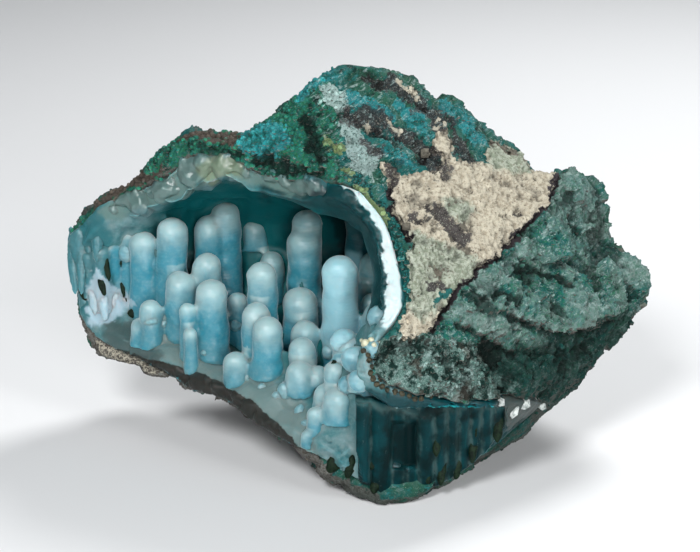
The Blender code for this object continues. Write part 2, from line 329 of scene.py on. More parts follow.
def ranged(tree, value, low, high, toLow=0.0, toHigh=1.0, shape="SMOOTHSTEP"):
    values = {0: value, 1: low, 2: high, 3: toLow, 4: toHigh}
    return addNode(tree, "ShaderNodeMapRange", values, interpolation_type=shape).outputs[0]


def noise(tree, where, size, detail=3.0, roughness=0.55, distortion=0.0):
    # fractal noise around 0.5 whose main features are about size mm across
    values = {"Vector": where, "Scale": 1.0 / size, "Detail": detail, "Roughness": roughness,
              "Distortion": distortion}
    return addNode(tree, "ShaderNodeTexNoise", values).outputs[0]


def cells(tree, where, size, feature="F1"):
    values = {"Vector": where, "Scale": 1.0 / size}
    return addNode(tree, "ShaderNodeTexVoronoi", values, feature=feature).outputs["Distance"]


def scaled(tree, vector, factors):
    return vectorCalc(tree, "MULTIPLY", vector, factors)[0]


def turned(tree, vector, axis, degrees):
    values = {"Vector": vector, "Axis": axis, "Angle": math.radians(degrees)}
    return addNode(tree, "ShaderNodeVectorRotate", values, rotation_type="AXIS_ANGLE").outputs[0]


def mixed(tree, share, a, b, blend="MIX"):
    node = addNode(tree, "ShaderNodeMix", {0: share, 6: a, 7: b}, data_type="RGBA", blend_type=blend)
    return node.outputs[2]


# Shader trees

def newMaterial(name, colour):
    material = bpy.data.materials.new(name)
    material.use_nodes = True
    material.diffuse_color = (*colour, 1.0)
    tree = material.node_tree
    return material, tree, tree.nodes["Principled BSDF"]


def objectPlace(tree):
    coords = addNode(tree, "ShaderNodeTexCoord").outputs["Object"]
    return scaled(tree, coords, (1 / mm, 1 / mm, 1 / mm))


def paint(tree, name):
    return addNode(tree, "ShaderNodeAttribute", attribute_name=name).outputs["Fac"]


def ragged(tree, share, rough, reach=0.5, sharp=0.12):
    # a soft painted share with a rough broken edge
    shifted = timesPlus(tree, centred(tree, rough), 2.0 * reach, share)
    return ranged(tree, shifted, 0.5 - sharp, 0.5 + sharp)


def bumped(tree, height, depth):
    values = {"Height": height, "Distance": depth * mm, "Strength": 1.0}
    return addNode(tree, "ShaderNodeBump", values).outputs[0]


def finished(tree, shader, colour, bump, values):
    # joins a colour and a bump to the shader, and sets its constant values on its own sockets
    tree.links.new(colour, shader.inputs["Base Color"])
    tree.links.new(bump, shader.inputs["Normal"])
    for name, value in values.items():
        shader.inputs[name].default_value = value


# Geometry Nodes trees

def newTree(name, inputs):
    tree = bpy.data.node_groups.new(name, "GeometryNodeTree")
    tree.interface.new_socket("Geometry", in_out="INPUT", socket_type="NodeSocketGeometry")
    for label, value in inputs.items():
        kind = "Int" if isinstance(value, int) else "Float" if isinstance(value, float) else "Material"
        socket = tree.interface.new_socket(label, in_out="INPUT", socket_type="NodeSocket" + kind)
        if kind != "Material":
            socket.default_value = value
    tree.interface.new_socket("Geometry", in_out="OUTPUT", socket_type="NodeSocketGeometry")
    return tree, tree.nodes.new("NodeGroupInput").outputs


def endTree(tree, geometry):
    # every tree ends realized and with its material set
    whole = addNode(tree, "GeometryNodeRealizeInstances", {0: geometry}).outputs[0]
    source = next(n for n in tree.nodes if n.type == "GROUP_INPUT")
    dressed = addNode(tree, "GeometryNodeSetMaterial", {0: whole, "Material": source.outputs["Finish"]})
    addNode(tree, "NodeGroupOutput", {0: dressed.outputs[0]})


def grown(mesh, tree, values):
    # runs a tree on a mesh, with the values set by the sockets' identifiers
    obj = link("work", mesh)
    modifier = obj.modifiers.new(tree.name, "NODES")
    modifier.node_group = tree
    for socket in tree.interface.items_tree:
        if socket.in_out == "INPUT" and socket.name in values:
            modifier[socket.identifier] = values[socket.name]
    return applied(obj)


def placeInMm(tree):
    where = addNode(tree, "GeometryNodeInputPosition").outputs[0]
    return scaled(tree, where, (1 / mm, 1 / mm, 1 / mm))


def named(tree, name, kind="FLOAT"):
    return addNode(tree, "GeometryNodeInputNamedAttribute", {"Name": name}, data_type=kind).outputs[0]


def stored(tree, geometry, name, value, kind="FLOAT"):
    values = {0: geometry, "Name": name, "Value": value}
    return addNode(tree, "GeometryNodeStoreNamedAttribute", values, data_type=kind, domain="POINT").outputs[0]


def drawn(tree, low, high, seed, shift):
    # a number or a vector drawn at random for each point
    vector = isinstance(low, tuple)
    kind, first, output = ("FLOAT_VECTOR", 0, 0) if vector else ("FLOAT", 2, 1)
    values = {first: low, first + 1: high, 8: plus(tree, seed, shift)}
    return addNode(tree, "FunctionNodeRandomValue", values, data_type=kind).outputs[output]


def pushed(tree, geometry, height):
    # moves the surface along its normal by a height in mm
    normal = addNode(tree, "GeometryNodeInputNormal").outputs[0]
    values = {0: normal, "Scale": times(tree, height, mm)}
    offset = addNode(tree, "ShaderNodeVectorMath", values, operation="SCALE").outputs[0]
    return addNode(tree, "GeometryNodeSetPosition", {0: geometry, "Offset": offset}).outputs[0]


def formsTree():
    # a ball at each point, stretched and turned by the point's own size and turn, then roughened
    tree, source = newTree("setForms", {
        "Subdivisions": 3, "Rough height": 0.1, "Rough size": 0.8, "Finish": None})
    ball = addNode(tree, "GeometryNodeMeshIcoSphere", {
        "Radius": mm, "Subdivisions": source["Subdivisions"]}).outputs[0]
    placed = addNode(tree, "GeometryNodeInstanceOnPoints", {
        "Points": source["Geometry"], "Instance": ball,
        "Rotation": named(tree, "turn", "FLOAT_VECTOR"),
        "Scale": named(tree, "size", "FLOAT_VECTOR")}).outputs[0]
    whole = addNode(tree, "GeometryNodeRealizeInstances", {0: placed}).outputs[0]
    rough = addNode(tree, "ShaderNodeTexNoise", {
        "Vector": placeInMm(tree), "Scale": calc(tree, "DIVIDE", 1.0, source["Rough size"]),
        "Detail": 3.0}).outputs[0]
    endTree(tree, pushed(tree, whole, times(tree, centred(tree, rough), source["Rough height"])))
    return tree


def setForms(places, sizes, turns, finish, subdivisions, roughHeight, roughSize):
    mesh = bpy.data.meshes.new("spots")
    mesh.from_pydata([tuple(Vector(p) * mm) for p in places], [], [])
    setVectors(mesh, "size", sizes)
    setVectors(mesh, "turn", turns)
    values = {"Subdivisions": subdivisions, "Rough height": roughHeight, "Rough size": roughSize,
              "Finish": finish}
    return grown(mesh, formsTree(), values)


def facingTurn(lean):
    # stands a form upright in the picture and leans it over to the right, in degrees
    turn = Matrix.Rotation(-tilt, 3, "X") @ Matrix.Rotation(math.radians(lean), 3, "Y")
    return tuple(turn.to_euler())


# The rock

rock = {
    "voxel": 0.36,
    "triangles": 194000,
    "behindKept": 0.45,        # weight of the thinning on the sides that face away
    "smoothRounds": 5,
    "covered": (0.4, 1.0),     # distance from the chalcedony over which the relief fades in
    "ledgeSize": 5.0,
    "ledgeSlope": 0.3,
    "chipSize": 1.7,
    "chipSlope": 0.38,
    "backSize": 7.0,
    "backSlope": 0.2,
    "ridgeHeight": 0.4,
    "cragSize": 1.7,
    "cragHeight": 0.42,
    "grainHeight": 0.5,
    "grainSize": 0.95,
    "fineHeight": 0.6,
    "deepCut": 0.55,
    "seamCut": 0.5,
    "grainAngle": 38.0,        # the way the lump's grain falls to the right, in degrees
    "reliefStretch": 0.45,     # how much longer the relief and the streaks are along it
    "streakStretch": 0.22,
    "roomNeeded": 1.5,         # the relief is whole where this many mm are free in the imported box
    "behind": (-0.4, 0.1),     # how far a side faces the camera where it counts as turned away
    "hidden": (-0.2, 0.2),
    "backed": (0.6, 1.0),      # distance from the chalcedony over which the rock is kept fine
}

roofOutline = [(50, 245), (90, 205), (150, 160), (180, 128), (265, 112), (318, 70), (336, 86),
               (345, 118), (338, 150), (345, 182), (320, 192), (290, 188), (262, 176), (230, 160),
               (190, 160), (150, 190), (100, 215), (75, 250)]
tanOutline = [(378, 160), (390, 165), (398, 172), (410, 175), (430, 171), (445, 169), (442, 158),
              (423, 153), (430, 148), (437, 131), (443, 127), (451, 140), (453, 152), (467, 162),
              (484, 165), (487, 143), (502, 145), (522, 155), (531, 170), (545, 171), (568, 167),
              (557, 176), (552, 193), (540, 212), (527, 226), (512, 238), (503, 247), (498, 257),
              (488, 263), (480, 270), (465, 283), (452, 298), (445, 310), (430, 330), (417, 337),
              (405, 337), (402, 327), (408, 300), (413, 277), (410, 260), (413, 243), (408, 231),
              (402, 222), (393, 210), (395, 202), (390, 187)]
lumpOutline = [(568, 160), (557, 177), (552, 194), (540, 213), (527, 227), (512, 239), (498, 258),
               (480, 271), (465, 284), (452, 299), (445, 311), (430, 331), (405, 338), (365, 345),
               (360, 420), (520, 420), (600, 380), (670, 300), (650, 230), (610, 160)]

rockZones = {
    "roof": {"soft": 7.0, "areas": [roofOutline]},
    "tan": {"soft": 2.5, "areas": [tanOutline]},
    "lump": {"soft": 4.0, "areas": [lumpOutline]},
    "greyTan": {"soft": 7.0, "areas": [
        [(411, 228), (440, 242), (466, 250), (482, 262), (470, 282), (452, 300), (437, 312),
         (418, 320), (406, 305), (412, 280), (409, 258)],
        [(486, 142), (504, 144), (524, 154), (532, 172), (502, 174), (486, 166)],
        [(444, 198), (470, 200), (478, 212), (462, 222), (446, 214)]]},
    "purple": {"lines": [
        (11, [(427, 212), (440, 212), (447, 224)]), (11, [(446, 223), (456, 233), (466, 239)]),
        (4, [(409, 216), (419, 222)]), (3.5, [(508, 220), (510, 221)]), (3.5, [(517, 212), (518, 213)]),
        (6, [(428, 283), (441, 288), (447, 293)]), (4, [(500, 238), (502, 239)]),
        (11, [(378, 82), (392, 86), (404, 92), (420, 104), (433, 115), (441, 128)]),
        (13, [(354, 119), (368, 117), (384, 125), (402, 135), (420, 147), (432, 160), (440, 168)]),
        (6, [(362, 141), (372, 147), (382, 152)]), (7, [(455, 142), (462, 150), (470, 160)]),
        (6, [(445, 118), (452, 128), (455, 140)]), (5, [(366, 75), (376, 80)]),
        (6, [(392, 168), (393, 180), (390, 190)])]},
    "seam": {"lines": [
        (4.5, [(568, 169), (557, 177), (552, 193), (540, 213), (527, 227), (512, 239), (503, 248),
               (498, 258), (488, 264), (480, 271), (465, 284), (452, 299), (444, 312), (432, 330)]),
        (3.5, [(389, 186), (394, 203), (392, 211), (402, 223), (408, 232), (412, 244)])]},
    "cream": {"lines": [
        (4, [(383, 122), (390, 128), (400, 134)]), (3.5, [(399, 85), (408, 90), (415, 99)]),
        (3, [(364, 125), (369, 129)]), (3, [(437, 119), (440, 126)])]},
    "pale": {"soft": 4.0, "areas": [
        [(320, 87), (335, 86), (344, 96), (351, 109), (343, 116), (332, 105), (322, 101)],
        [(341, 122), (352, 120), (362, 135), (378, 152), (377, 168), (371, 178), (358, 175),
         (349, 166), (344, 150)]]},
    "frosted": {"soft": 6.0, "areas": [
        [(556, 170), (572, 166), (592, 180), (606, 206), (612, 236), (596, 240), (574, 226), (556, 206)],
        [(618, 250), (634, 258), (648, 270), (646, 288), (634, 288), (618, 268)],
        [(562, 278), (580, 281), (595, 300), (594, 318), (581, 322), (567, 302)],
        [(458, 304), (482, 304), (512, 318), (520, 330), (498, 340), (470, 332)],
        [(470, 284), (500, 262), (520, 246), (530, 262), (505, 282), (484, 294)]],
        "lines": [(4, [(463, 290), (500, 305), (540, 325), (575, 328), (620, 312)])]},
    # painted shade on the lump's lower right flank and along the rock's lower edge under the curtain
    "shade": {"soft": 14.0, "areas": [
        [(480, 345), (520, 345), (560, 350), (585, 335), (612, 318), (655, 300), (660, 320), (600, 400),
         (520, 460), (470, 480), (500, 400), (478, 372)],
        [(330, 478), (366, 484), (400, 498), (450, 484), (482, 462), (510, 436), (545, 404), (600, 400),
         (500, 490), (400, 530), (320, 500)]]},
    "turquoise": {"soft": 9.0, "areas": [
        [(236, 122), (262, 118), (286, 128), (290, 146), (274, 160), (254, 158), (240, 150)]],
        "lines": [(8, [(350, 99), (365, 105), (378, 112), (392, 118)]),
                  (9, [(395, 105), (412, 118), (428, 130)]), (7, [(385, 150), (400, 158), (412, 166)]),
                  (10, [(446, 106), (462, 122), (476, 140)]), (6, [(434, 303), (444, 297), (451, 293)]),
                  (9, [(300, 92), (316, 84), (330, 72)])]},
    # crevices cut into the relief, painted dark as painted shade
    "deep": {"lines": [
        (8, [(208, 150), (222, 155), (240, 151)]), (10, [(258, 160), (280, 167), (300, 174), (322, 180)]),
        (6, [(422, 155), (424, 158)]), (9, [(303, 118), (312, 135), (318, 155)]),
        (11, [(484, 350), (497, 362), (508, 378)]), (8, [(583, 338), (596, 325), (607, 318)]),
        (8, [(566, 222), (576, 232)]), (8, [(470, 290), (484, 300), (492, 310)]),
        (7, [(500, 292), (520, 300)]), (9, [(518, 268), (524, 272)]), (7, [(556, 306), (562, 312)]),
        (5, [(466, 298), (500, 312), (540, 332), (572, 336), (612, 322)]),
        (4, [(458, 325), (482, 341), (515, 353)]), (5, [(520, 258), (548, 276), (572, 284)]),
        (5, [(340, 112), (370, 130), (398, 146)]),
        (9, [(522, 352), (532, 358)])]},
    "ridge": {"wobble": 9.0, "uneven": 1.0, "lines": [
        (17, [(463, 280), (500, 294), (540, 312), (575, 316), (620, 300)]),
        (14, [(455, 312), (480, 327), (515, 338), (550, 346)]),
        (14, [(545, 206), (565, 230), (590, 252), (615, 270)]), (12, [(516, 244), (548, 260), (575, 268)]),
        (7, [(330, 100), (352, 112), (380, 124), (410, 140)]), (7, [(362, 84), (390, 98), (418, 118)]),
        (7, [(380, 72), (408, 86), (430, 104)]), (6, [(452, 118), (470, 134), (484, 150)])]},
    "yellow": {"lines": [
        (8, [(328, 143), (340, 151)]), (7, [(360, 191), (372, 204)]), (6, [(384, 212), (388, 222)]),
        (6, [(345, 168), (352, 178)])]},
    "drusy": {"soft": 7.0, "areas": [
        [(368, 345), (400, 335), (430, 336), (470, 342), (500, 365), (520, 382), (500, 400),
         (450, 404), (410, 405), (380, 398), (366, 380)]]},
    "strip": {"lines": [
        (11, [(350, 172), (366, 190), (384, 212), (396, 236), (404, 262), (407, 290), (405, 312),
              (400, 330)])]},
    "crown": {"soft": 10.0, "areas": [
        [(300, 55), (470, 55), (540, 160), (480, 168), (440, 168), (400, 180), (372, 196), (345, 182),
         (318, 150)]]},
    "floorEdge": {"soft": 6.0, "areas": [
        [(60, 300), (84, 318), (100, 336), (130, 352), (165, 360), (200, 372), (240, 394), (275, 416),
         (300, 440), (330, 470), (400, 508), (380, 530), (250, 470), (60, 400)]]},
    "creamEdge": {"soft": 4.0, "areas": [
        [(94, 340), (116, 344), (140, 350), (166, 362), (160, 374), (130, 368), (100, 354)]]},
    "brownEdge": {"soft": 4.0, "lines": [
        (9, [(100, 205), (120, 190), (140, 178), (160, 172)]), (8, [(185, 134), (210, 134), (235, 140)])]},
}


rim = {
    "reach": 4.5,
    # pixels on the rim, and how far it is broken back there, in pixels
    "places": [(199, 170, 0, -7), (220, 166, 2, -9), (244, 170, 0, -4), (330, 197, 2, -8), (345, 205, 6, -16),
               (360, 222, 11, -12), (370, 245, 14, -5), (374, 275, 15, 0), (373, 303, 14, 0)],
}


def facing(normal):
    # how far each normal turns towards the camera, -1 to 1
    return -(normal @ np.array(viewAway))


edges = {
    "broad": 3.0,          # size of the waves in the edges of the zones, in mm
    "fine": 0.9,
    "fineShare": 0.6,
    "wobble": 5.0,         # how far an edge wanders, in pixels
    "uneven": 0.6,         # how much a line's width changes
}


def zoneShares(places, zones):
    # every zone's share at each place, with a wandering edge and lines of uneven width
    px, py = seen(places)
    broad = wander(places, edges["broad"], 1)
    fine = wander(places, edges["fine"], 2)
    for name, zone in zones.items():
        reach = zone.get("wobble", edges["wobble"])
        x = px + reach * (broad[:, 0] + edges["fineShare"] * fine[:, 0])
        y = py + reach * (broad[:, 1] + edges["fineShare"] * fine[:, 1])
        thick = 1.0 + zone.get("uneven", edges["uneven"]) * (broad[:, 2] + fine[:, 2])
        yield name, zoneShare(x, y, zone, thick)


def paintZones(mesh, zones):
    towards = smoothstep(-0.1, 0.2, facing(normals(mesh)))
    for name, share in zoneShares(points(mesh), zones):
        setAttribute(mesh, name, share * towards)


def rimBroken(mesh, crustTree):
    # breaks the rim of the hollow back where the picture shows it further out
    places = points(mesh)
    total = np.zeros(len(places))
    shift = np.zeros((len(places), 2))
    for px, py, dx, dy in rim["places"]:
        spot, _ = onSurface(px, py, crustTree)
        near = np.exp(-(np.linalg.norm(places - np.array(spot), axis=1) / rim["reach"]) ** 2)
        total += near
        shift += near[:, None] * np.array((dx, dy))
    shift /= np.maximum(total, 1.0)[:, None] * view["pixelsPerMm"]
    move = shift[:, :1] * np.array((1.0, 0.0, 0.0)) - shift[:, 1:] * np.array(viewUp)
    setPoints(mesh, places + move)


def roomInBox(mesh):
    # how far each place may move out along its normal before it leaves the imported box, in mm
    where, out = points(mesh), normals(mesh)
    low, high = np.array(cadBox[0]) / mm, np.array(cadBox[1]) / mm
    ways = np.where(out > 0.0, high - where, where - low) / np.maximum(np.abs(out), 0.05)
    return ways.min(axis=1)


def rockMesh(crustTree):
    mesh = remeshed(cadCopy("matrix_rock"), rock["voxel"])
    away, _ = distances(points(mesh), crustTree, 2.0)
    covered = 1.0 - smoothstep(*rock["backed"], away)
    behind = 1.0 - smoothstep(*rock["behind"], facing(normals(mesh)))
    thinned = np.maximum(covered, behind * rock["behindKept"])
    mesh = modified(mesh, "DECIMATE", group=thinned, ratio=rock["triangles"] / triangleCount(mesh),
                    use_collapse_triangulate=True)
    mesh = smoothed(mesh, rock["smoothRounds"])
    away, _ = distances(points(mesh), crustTree, 2.0)
    setAttribute(mesh, "free", smoothstep(*rock["covered"], away))
    rimBroken(mesh, crustTree)
    setAttribute(mesh, "room", smoothstep(0.0, rock["roomNeeded"], roomInBox(mesh)))
    setAttribute(mesh, "hidden", 1.0 - smoothstep(*rock["hidden"], facing(normals(mesh))))
    paintZones(mesh, rockZones)
    return mesh


def facets(tree, where, size, slope):
    # broken planes: each cell tilts its own way about its middle
    values = {"Vector": where, "Scale": calc(tree, "DIVIDE", 1.0, size)}
    chips = addNode(tree, "ShaderNodeTexVoronoi", values, feature="F1").outputs
    local = vectorCalc(tree, "SUBTRACT", where, chips["Position"])[0]
    slant = vectorCalc(tree, "SUBTRACT", chips["Color"], (0.5, 0.5, 0.5))[0]
    rise = vectorCalc(tree, "DOT_PRODUCT", local, slant)[1]
    return times(tree, times(tree, rise, 2.0), slope)


def warped(tree, where, size, amount):
    # places that drift by up to an amount in mm, in waves of a size
    values = {"Vector": where, "Scale": 1.0 / size, "Detail": 2.0}
    drift = addNode(tree, "ShaderNodeTexNoise", values).outputs[1]
    drift = vectorCalc(tree, "SUBTRACT", drift, (0.5, 0.5, 0.5))[0]
    drift = scaled(tree, drift, (2.0 * amount,) * 3)
    return vectorCalc(tree, "ADD", where, drift)[0]


def alongGrain(tree, where, stretch):
    # places laid out so that patterns run long along the rock's grain
    return scaled(tree, turned(tree, where, (0.0, 1.0, 0.0), rock["grainAngle"]), (stretch, 1.0, 1.0))


def crests(tree, where, size):
    # sharp crests over rounded hollows, 0 to 1
    swing = calc(tree, "ABSOLUTE", centred(tree, noise(tree, where, size, 4.0, 0.6)))
    return minus(tree, 1.0, times(tree, swing, 5.0), clamp=True)


def rockReliefTree():
    tree, source = newTree("breakRock", {
        "Ledge size": 5.0, "Ledge slope": 0.3, "Crag height": 0.5, "Grain height": 0.4,
        "Fine height": 0.2, "Finish": None})
    where = placeInMm(tree)
    lump = named(tree, "lump")
    granular = plus(tree, named(tree, "drusy"), named(tree, "strip"))
    granular = plus(tree, named(tree, "roof"), granular, clamp=True)
    laid = alongGrain(tree, warped(tree, where, 3.0, 0.7), rock["reliefStretch"])
    ledges = facets(tree, laid, source["Ledge size"], source["Ledge slope"])
    # crags off the lump, chips mostly on it
    crags = timesPlus(tree, crests(tree, laid, rock["cragSize"] * 0.4), 0.45,
                      crests(tree, laid, rock["cragSize"]))
    crags = times(tree, minus(tree, crags, 0.7), source["Crag height"])
    crags = times(tree, crags, timesPlus(tree, lump, -0.7, 1.0))
    chips = facets(tree, warped(tree, laid, 1.0, 0.25), rock["chipSize"], rock["chipSlope"])
    height = plus(tree, ledges, timesPlus(tree, chips, timesPlus(tree, lump, 0.6, 0.4), crags))
    # the granular and tan parts are flatter, and the granular ones have grains
    plain = calc(tree, "MAXIMUM", granular, named(tree, "tan"))
    height = times(tree, height, timesPlus(tree, plain, -0.4, timesPlus(tree, lump, 0.45, 0.55)))
    grains = minus(tree, 0.5, cells(tree, warped(tree, where, 1.2, 0.3), rock["grainSize"]))
    grains = times(tree, grains, source["Grain height"])
    height = timesPlus(tree, grains, timesPlus(tree, granular, 0.85, 0.15), height)
    fine = centred(tree, noise(tree, where, 0.8, 4.0, 0.75))
    height = timesPlus(tree, fine, source["Fine height"], height)
    height = timesPlus(tree, named(tree, "deep"), -rock["deepCut"], height)
    height = timesPlus(tree, named(tree, "seam"), -rock["seamCut"], height)
    height = timesPlus(tree, named(tree, "ridge"), rock["ridgeHeight"], height)
    # the broken back is rougher than the front
    steps = facets(tree, warped(tree, where, 5.0, 1.5), rock["backSize"], rock["backSlope"])
    height = timesPlus(tree, steps, named(tree, "hidden"), height)
    height = times(tree, height, named(tree, "free"))
    height = calc(tree, "MINIMUM", height, times(tree, height, named(tree, "room")))
    endTree(tree, pushed(tree, stored(tree, source["Geometry"], "relief", height), height))
    return tree


rockColours = {
    "teal": (0.01, 0.13, 0.12),
    "green": (0.022, 0.11, 0.07),
    "leaf": (0.022, 0.165, 0.085),
    "turquoise": (0.016, 0.25, 0.275),
    "dark": (0.003, 0.024, 0.019),
    "greyGreen": (0.085, 0.175, 0.15),
    "white": (0.42, 0.56, 0.54),
    "frost": (0.32, 0.42, 0.39),
    "purple": (0.032, 0.026, 0.03),
    "tan": (0.57, 0.53, 0.42),
    "tanDark": (0.17, 0.14, 0.1),
    "tanBrown": (0.42, 0.375, 0.285),
    "tanGrey": (0.42, 0.46, 0.375),
    "tanGreen": (0.24, 0.285, 0.21),
    "yellow": (0.26, 0.34, 0.14),
    "brown": (0.075, 0.062, 0.05),
    "stone": (0.17, 0.17, 0.155),
}


def zoned(tree, colour, name, tint, rough, reach=0.5, strength=1.0, sharp=0.12):
    # lays a tint over a colour where a zone is painted
    share = ragged(tree, paint(tree, name), rough, reach, sharp)
    return mixed(tree, times(tree, share, strength), colour, tint)


# size in mm, detail, roughness and distortion
rockNoises = {
    "broad": (5.0, 4.0, 0.6),
    "middle": (1.9, 5.0, 0.65),
    "blotch": (1.6, 5.0, 0.7),
    "fine": (0.5, 4.0, 0.7),
    "tiny": (0.2, 3.0, 0.7),
    "patch": (9.0, 6.0, 0.65, 0.4),
}
grainNoises = {
    "streak": (0.55, 6.0, 0.7, 0.8),
    "veil": (1.5, 5.0, 0.7, 0.5),
}

# a base, then layers: pattern, the levels where a layer begins and is full, its share there, its colour
rockRecipes = {
    "brokenStone": ("brown", ("fine", 0.35, 0.6, 1.0, "stone")),
    "paleCrust": ("tanGreen", ("fine", 0.3, 0.6, 1.0, "tanGrey")),
    "crown": ("teal", ("broad", 0.4, 0.6, 1.0, "green"), ("veil", 0.52, 0.68, 0.7, "turquoise"),
              ("middle", 0.5, 0.72, 0.8, "greyGreen"), ("streak", 0.54, 0.7, 0.5, "white"),
              ("middle", 0.46, 0.32, 1.0, "dark")),
    "back": ("crown", ("patch", 0.55, 0.6, 0.85, "brokenStone"), ("other", 0.6, 0.64, 0.8, "paleCrust"),
             ("patch", 0.42, 0.36, 0.7, "turquoise"), ("other", 0.42, 0.36, 0.7, "dark")),
    "lump": ("teal", ("broad", 0.42, 0.64, 1.0, "greyGreen"), ("veil", 0.52, 0.68, 0.6, "white"),
             ("streak", 0.54, 0.64, 1.0, "white"), ("fine", 0.52, 0.36, 0.9, "leaf"),
             ("blotch", 0.47, 0.36, 0.85, "dark")),
    "frosting": ("greyGreen", ("fine", 0.3, 0.6, 1.0, "frost")),
    "roof": ("leaf", ("fine", 0.38, 0.68, 1.0, "teal"), ("speck", 0.35, 0.12, 0.6, "turquoise"),
             ("tiny", 0.62, 0.75, 0.35, "white"), ("middle", 0.54, 0.36, 1.0, "dark")),
    "stripGround": ("dark", ("fine", 0.4, 0.6, 1.0, "teal")),
    "stripGrains": ("turquoise", ("speck", 0.1, 0.3, 1.0, "stripGround")),
    "brightBlue": ("turquoise", ("tiny", 0.5, 0.75, 0.4, "white"), ("middle", 0.5, 0.4, 1.0, "teal")),
    "paleVeil": ("greyGreen", ("fine", 0.3, 0.55, 1.0, "white")),
    "druse": ("greyGreen", ("tiny", 0.45, 0.7, 0.6, "white"), ("veil", 0.5, 0.62, 0.6, "white"),
              ("middle", 0.55, 0.42, 1.0, "dark"), ("broad", 0.52, 0.6, 0.6, "brown")),
    "speckledPurple": ("purple", ("tiny", 0.6, 0.7, 1.0, "tanGrey")),
    "footStone": ("brokenStone", ("tiny", 0.62, 0.72, 1.0, "white")),
    "creamStone": ("footStone", ("fine", 0.46, 0.56, 1.0, "tan")),
}

# zone, what lies in it, the pattern that breaks its edge, how far, its share and how soft the edge is
rockCoats = {
    "lump": [("frosted", "frosting", "veil", 0.9, 0.4, 0.3), ("ridge", "frost", "streak", 1.0, 0.2, 0.4)],
    "surface": [
        ("strip", "stripGrains", "fine", 0.4), ("turquoise", "brightBlue", "fine", 0.9, 0.85),
        ("pale", "paleVeil", "middle", 0.9, 0.85), ("yellow", "yellow", "fine", 0.9, 0.7),
        # the deep coat is painted shade in the crevices
        ("drusy", "druse", "fine", 0.5), ("deep", "dark", "mottle", 0.7, 0.8, 0.35),
        ("tan", "tanCrust", "fine", 0.15), ("purple", "speckledPurple", "mottle", 1.1, 0.9, 0.3),
        ("cream", "tan", "mottle", 0.9, 0.9, 0.3)],
    "foot": [
        ("seam", "purple", "mottle", 0.7, 1.0, 0.25), ("floorEdge", "footStone", "fine", 0.3),
        ("creamEdge", "creamStone", "middle", 0.6, 0.8), ("brownEdge", "brown", "fine", 0.9)],
}


def rockPatterns(tree, where):
    patterns = {name: noise(tree, where, *values) for name, values in rockNoises.items()}
    along = alongGrain(tree, where, rock["streakStretch"])
    for name, values in grainNoises.items():
        patterns[name] = noise(tree, along, *values)
    patterns["other"] = noise(tree, turned(tree, where, (1.0, 0.0, 0.0), 70.0), 7.0, 6.0, 0.65, 0.4)
    patterns["speck"] = cells(tree, where, 0.4)
    patterns["mottle"] = timesPlus(tree, centred(tree, patterns["tiny"]), 0.7, patterns["fine"])
    return patterns


def blended(tree, patterns, recipes):
    # every plain colour and every recipe's colour, by name
    made = dict(rockColours)
    for name, (base, *layers) in recipes.items():
        made[name] = made[base]
        for pattern, start, full, share, tint in layers:
            level = ranged(tree, patterns[pattern], start, full, 0.0, share)
            made[name] = mixed(tree, level, made[name], made[tint])
    return made


def coated(tree, colour, patterns, made, coats):
    for zone, tint, edge, *settings in coats:
        colour = zoned(tree, colour, zone, made[tint], patterns[edge], *settings)
    return colour


def tanColour(tree, where, middle, fine):
    # porous tan crust with a greyer part; painted shade darkens its pores, and darker patches lie over it
    c = rockColours
    pores = ranged(tree, cells(tree, warped(tree, where, 0.8, 0.2), 0.62), 0.12, 0.3)
    pores = calc(tree, "MAXIMUM", pores, ranged(tree, middle, 0.42, 0.56))
    # the pores and patches take the dark tan, which in the pores is painted shade
    shade = times(tree, pores, ranged(tree, fine, 0.28, 0.5, 0.45, 1.0))
    tone = timesPlus(tree, centred(tree, fine), 0.8, noise(tree, where, 1.3, 4.0, 0.7))
    tan = mixed(tree, ranged(tree, tone, 0.36, 0.6), c["tanBrown"], c["tan"])
    tan = mixed(tree, shade, c["tanDark"], tan)
    grey = mixed(tree, ranged(tree, tone, 0.4, 0.6), c["tanGreen"], c["tanGrey"])
    grey = mixed(tree, shade, c["tanDark"], grey)
    return mixed(tree, ragged(tree, paint(tree, "greyTan"), middle, 0.5, 0.3), tan, grey)


def paintedHollowShade(tree, colour, low, high, darkest, lightest):
    # painted shade: the hollows of the relief are painted darker than its tops
    tone = ranged(tree, paint(tree, "relief"), low, high, darkest, lightest)
    return mixed(tree, 1.0, colour, tone, "MULTIPLY")


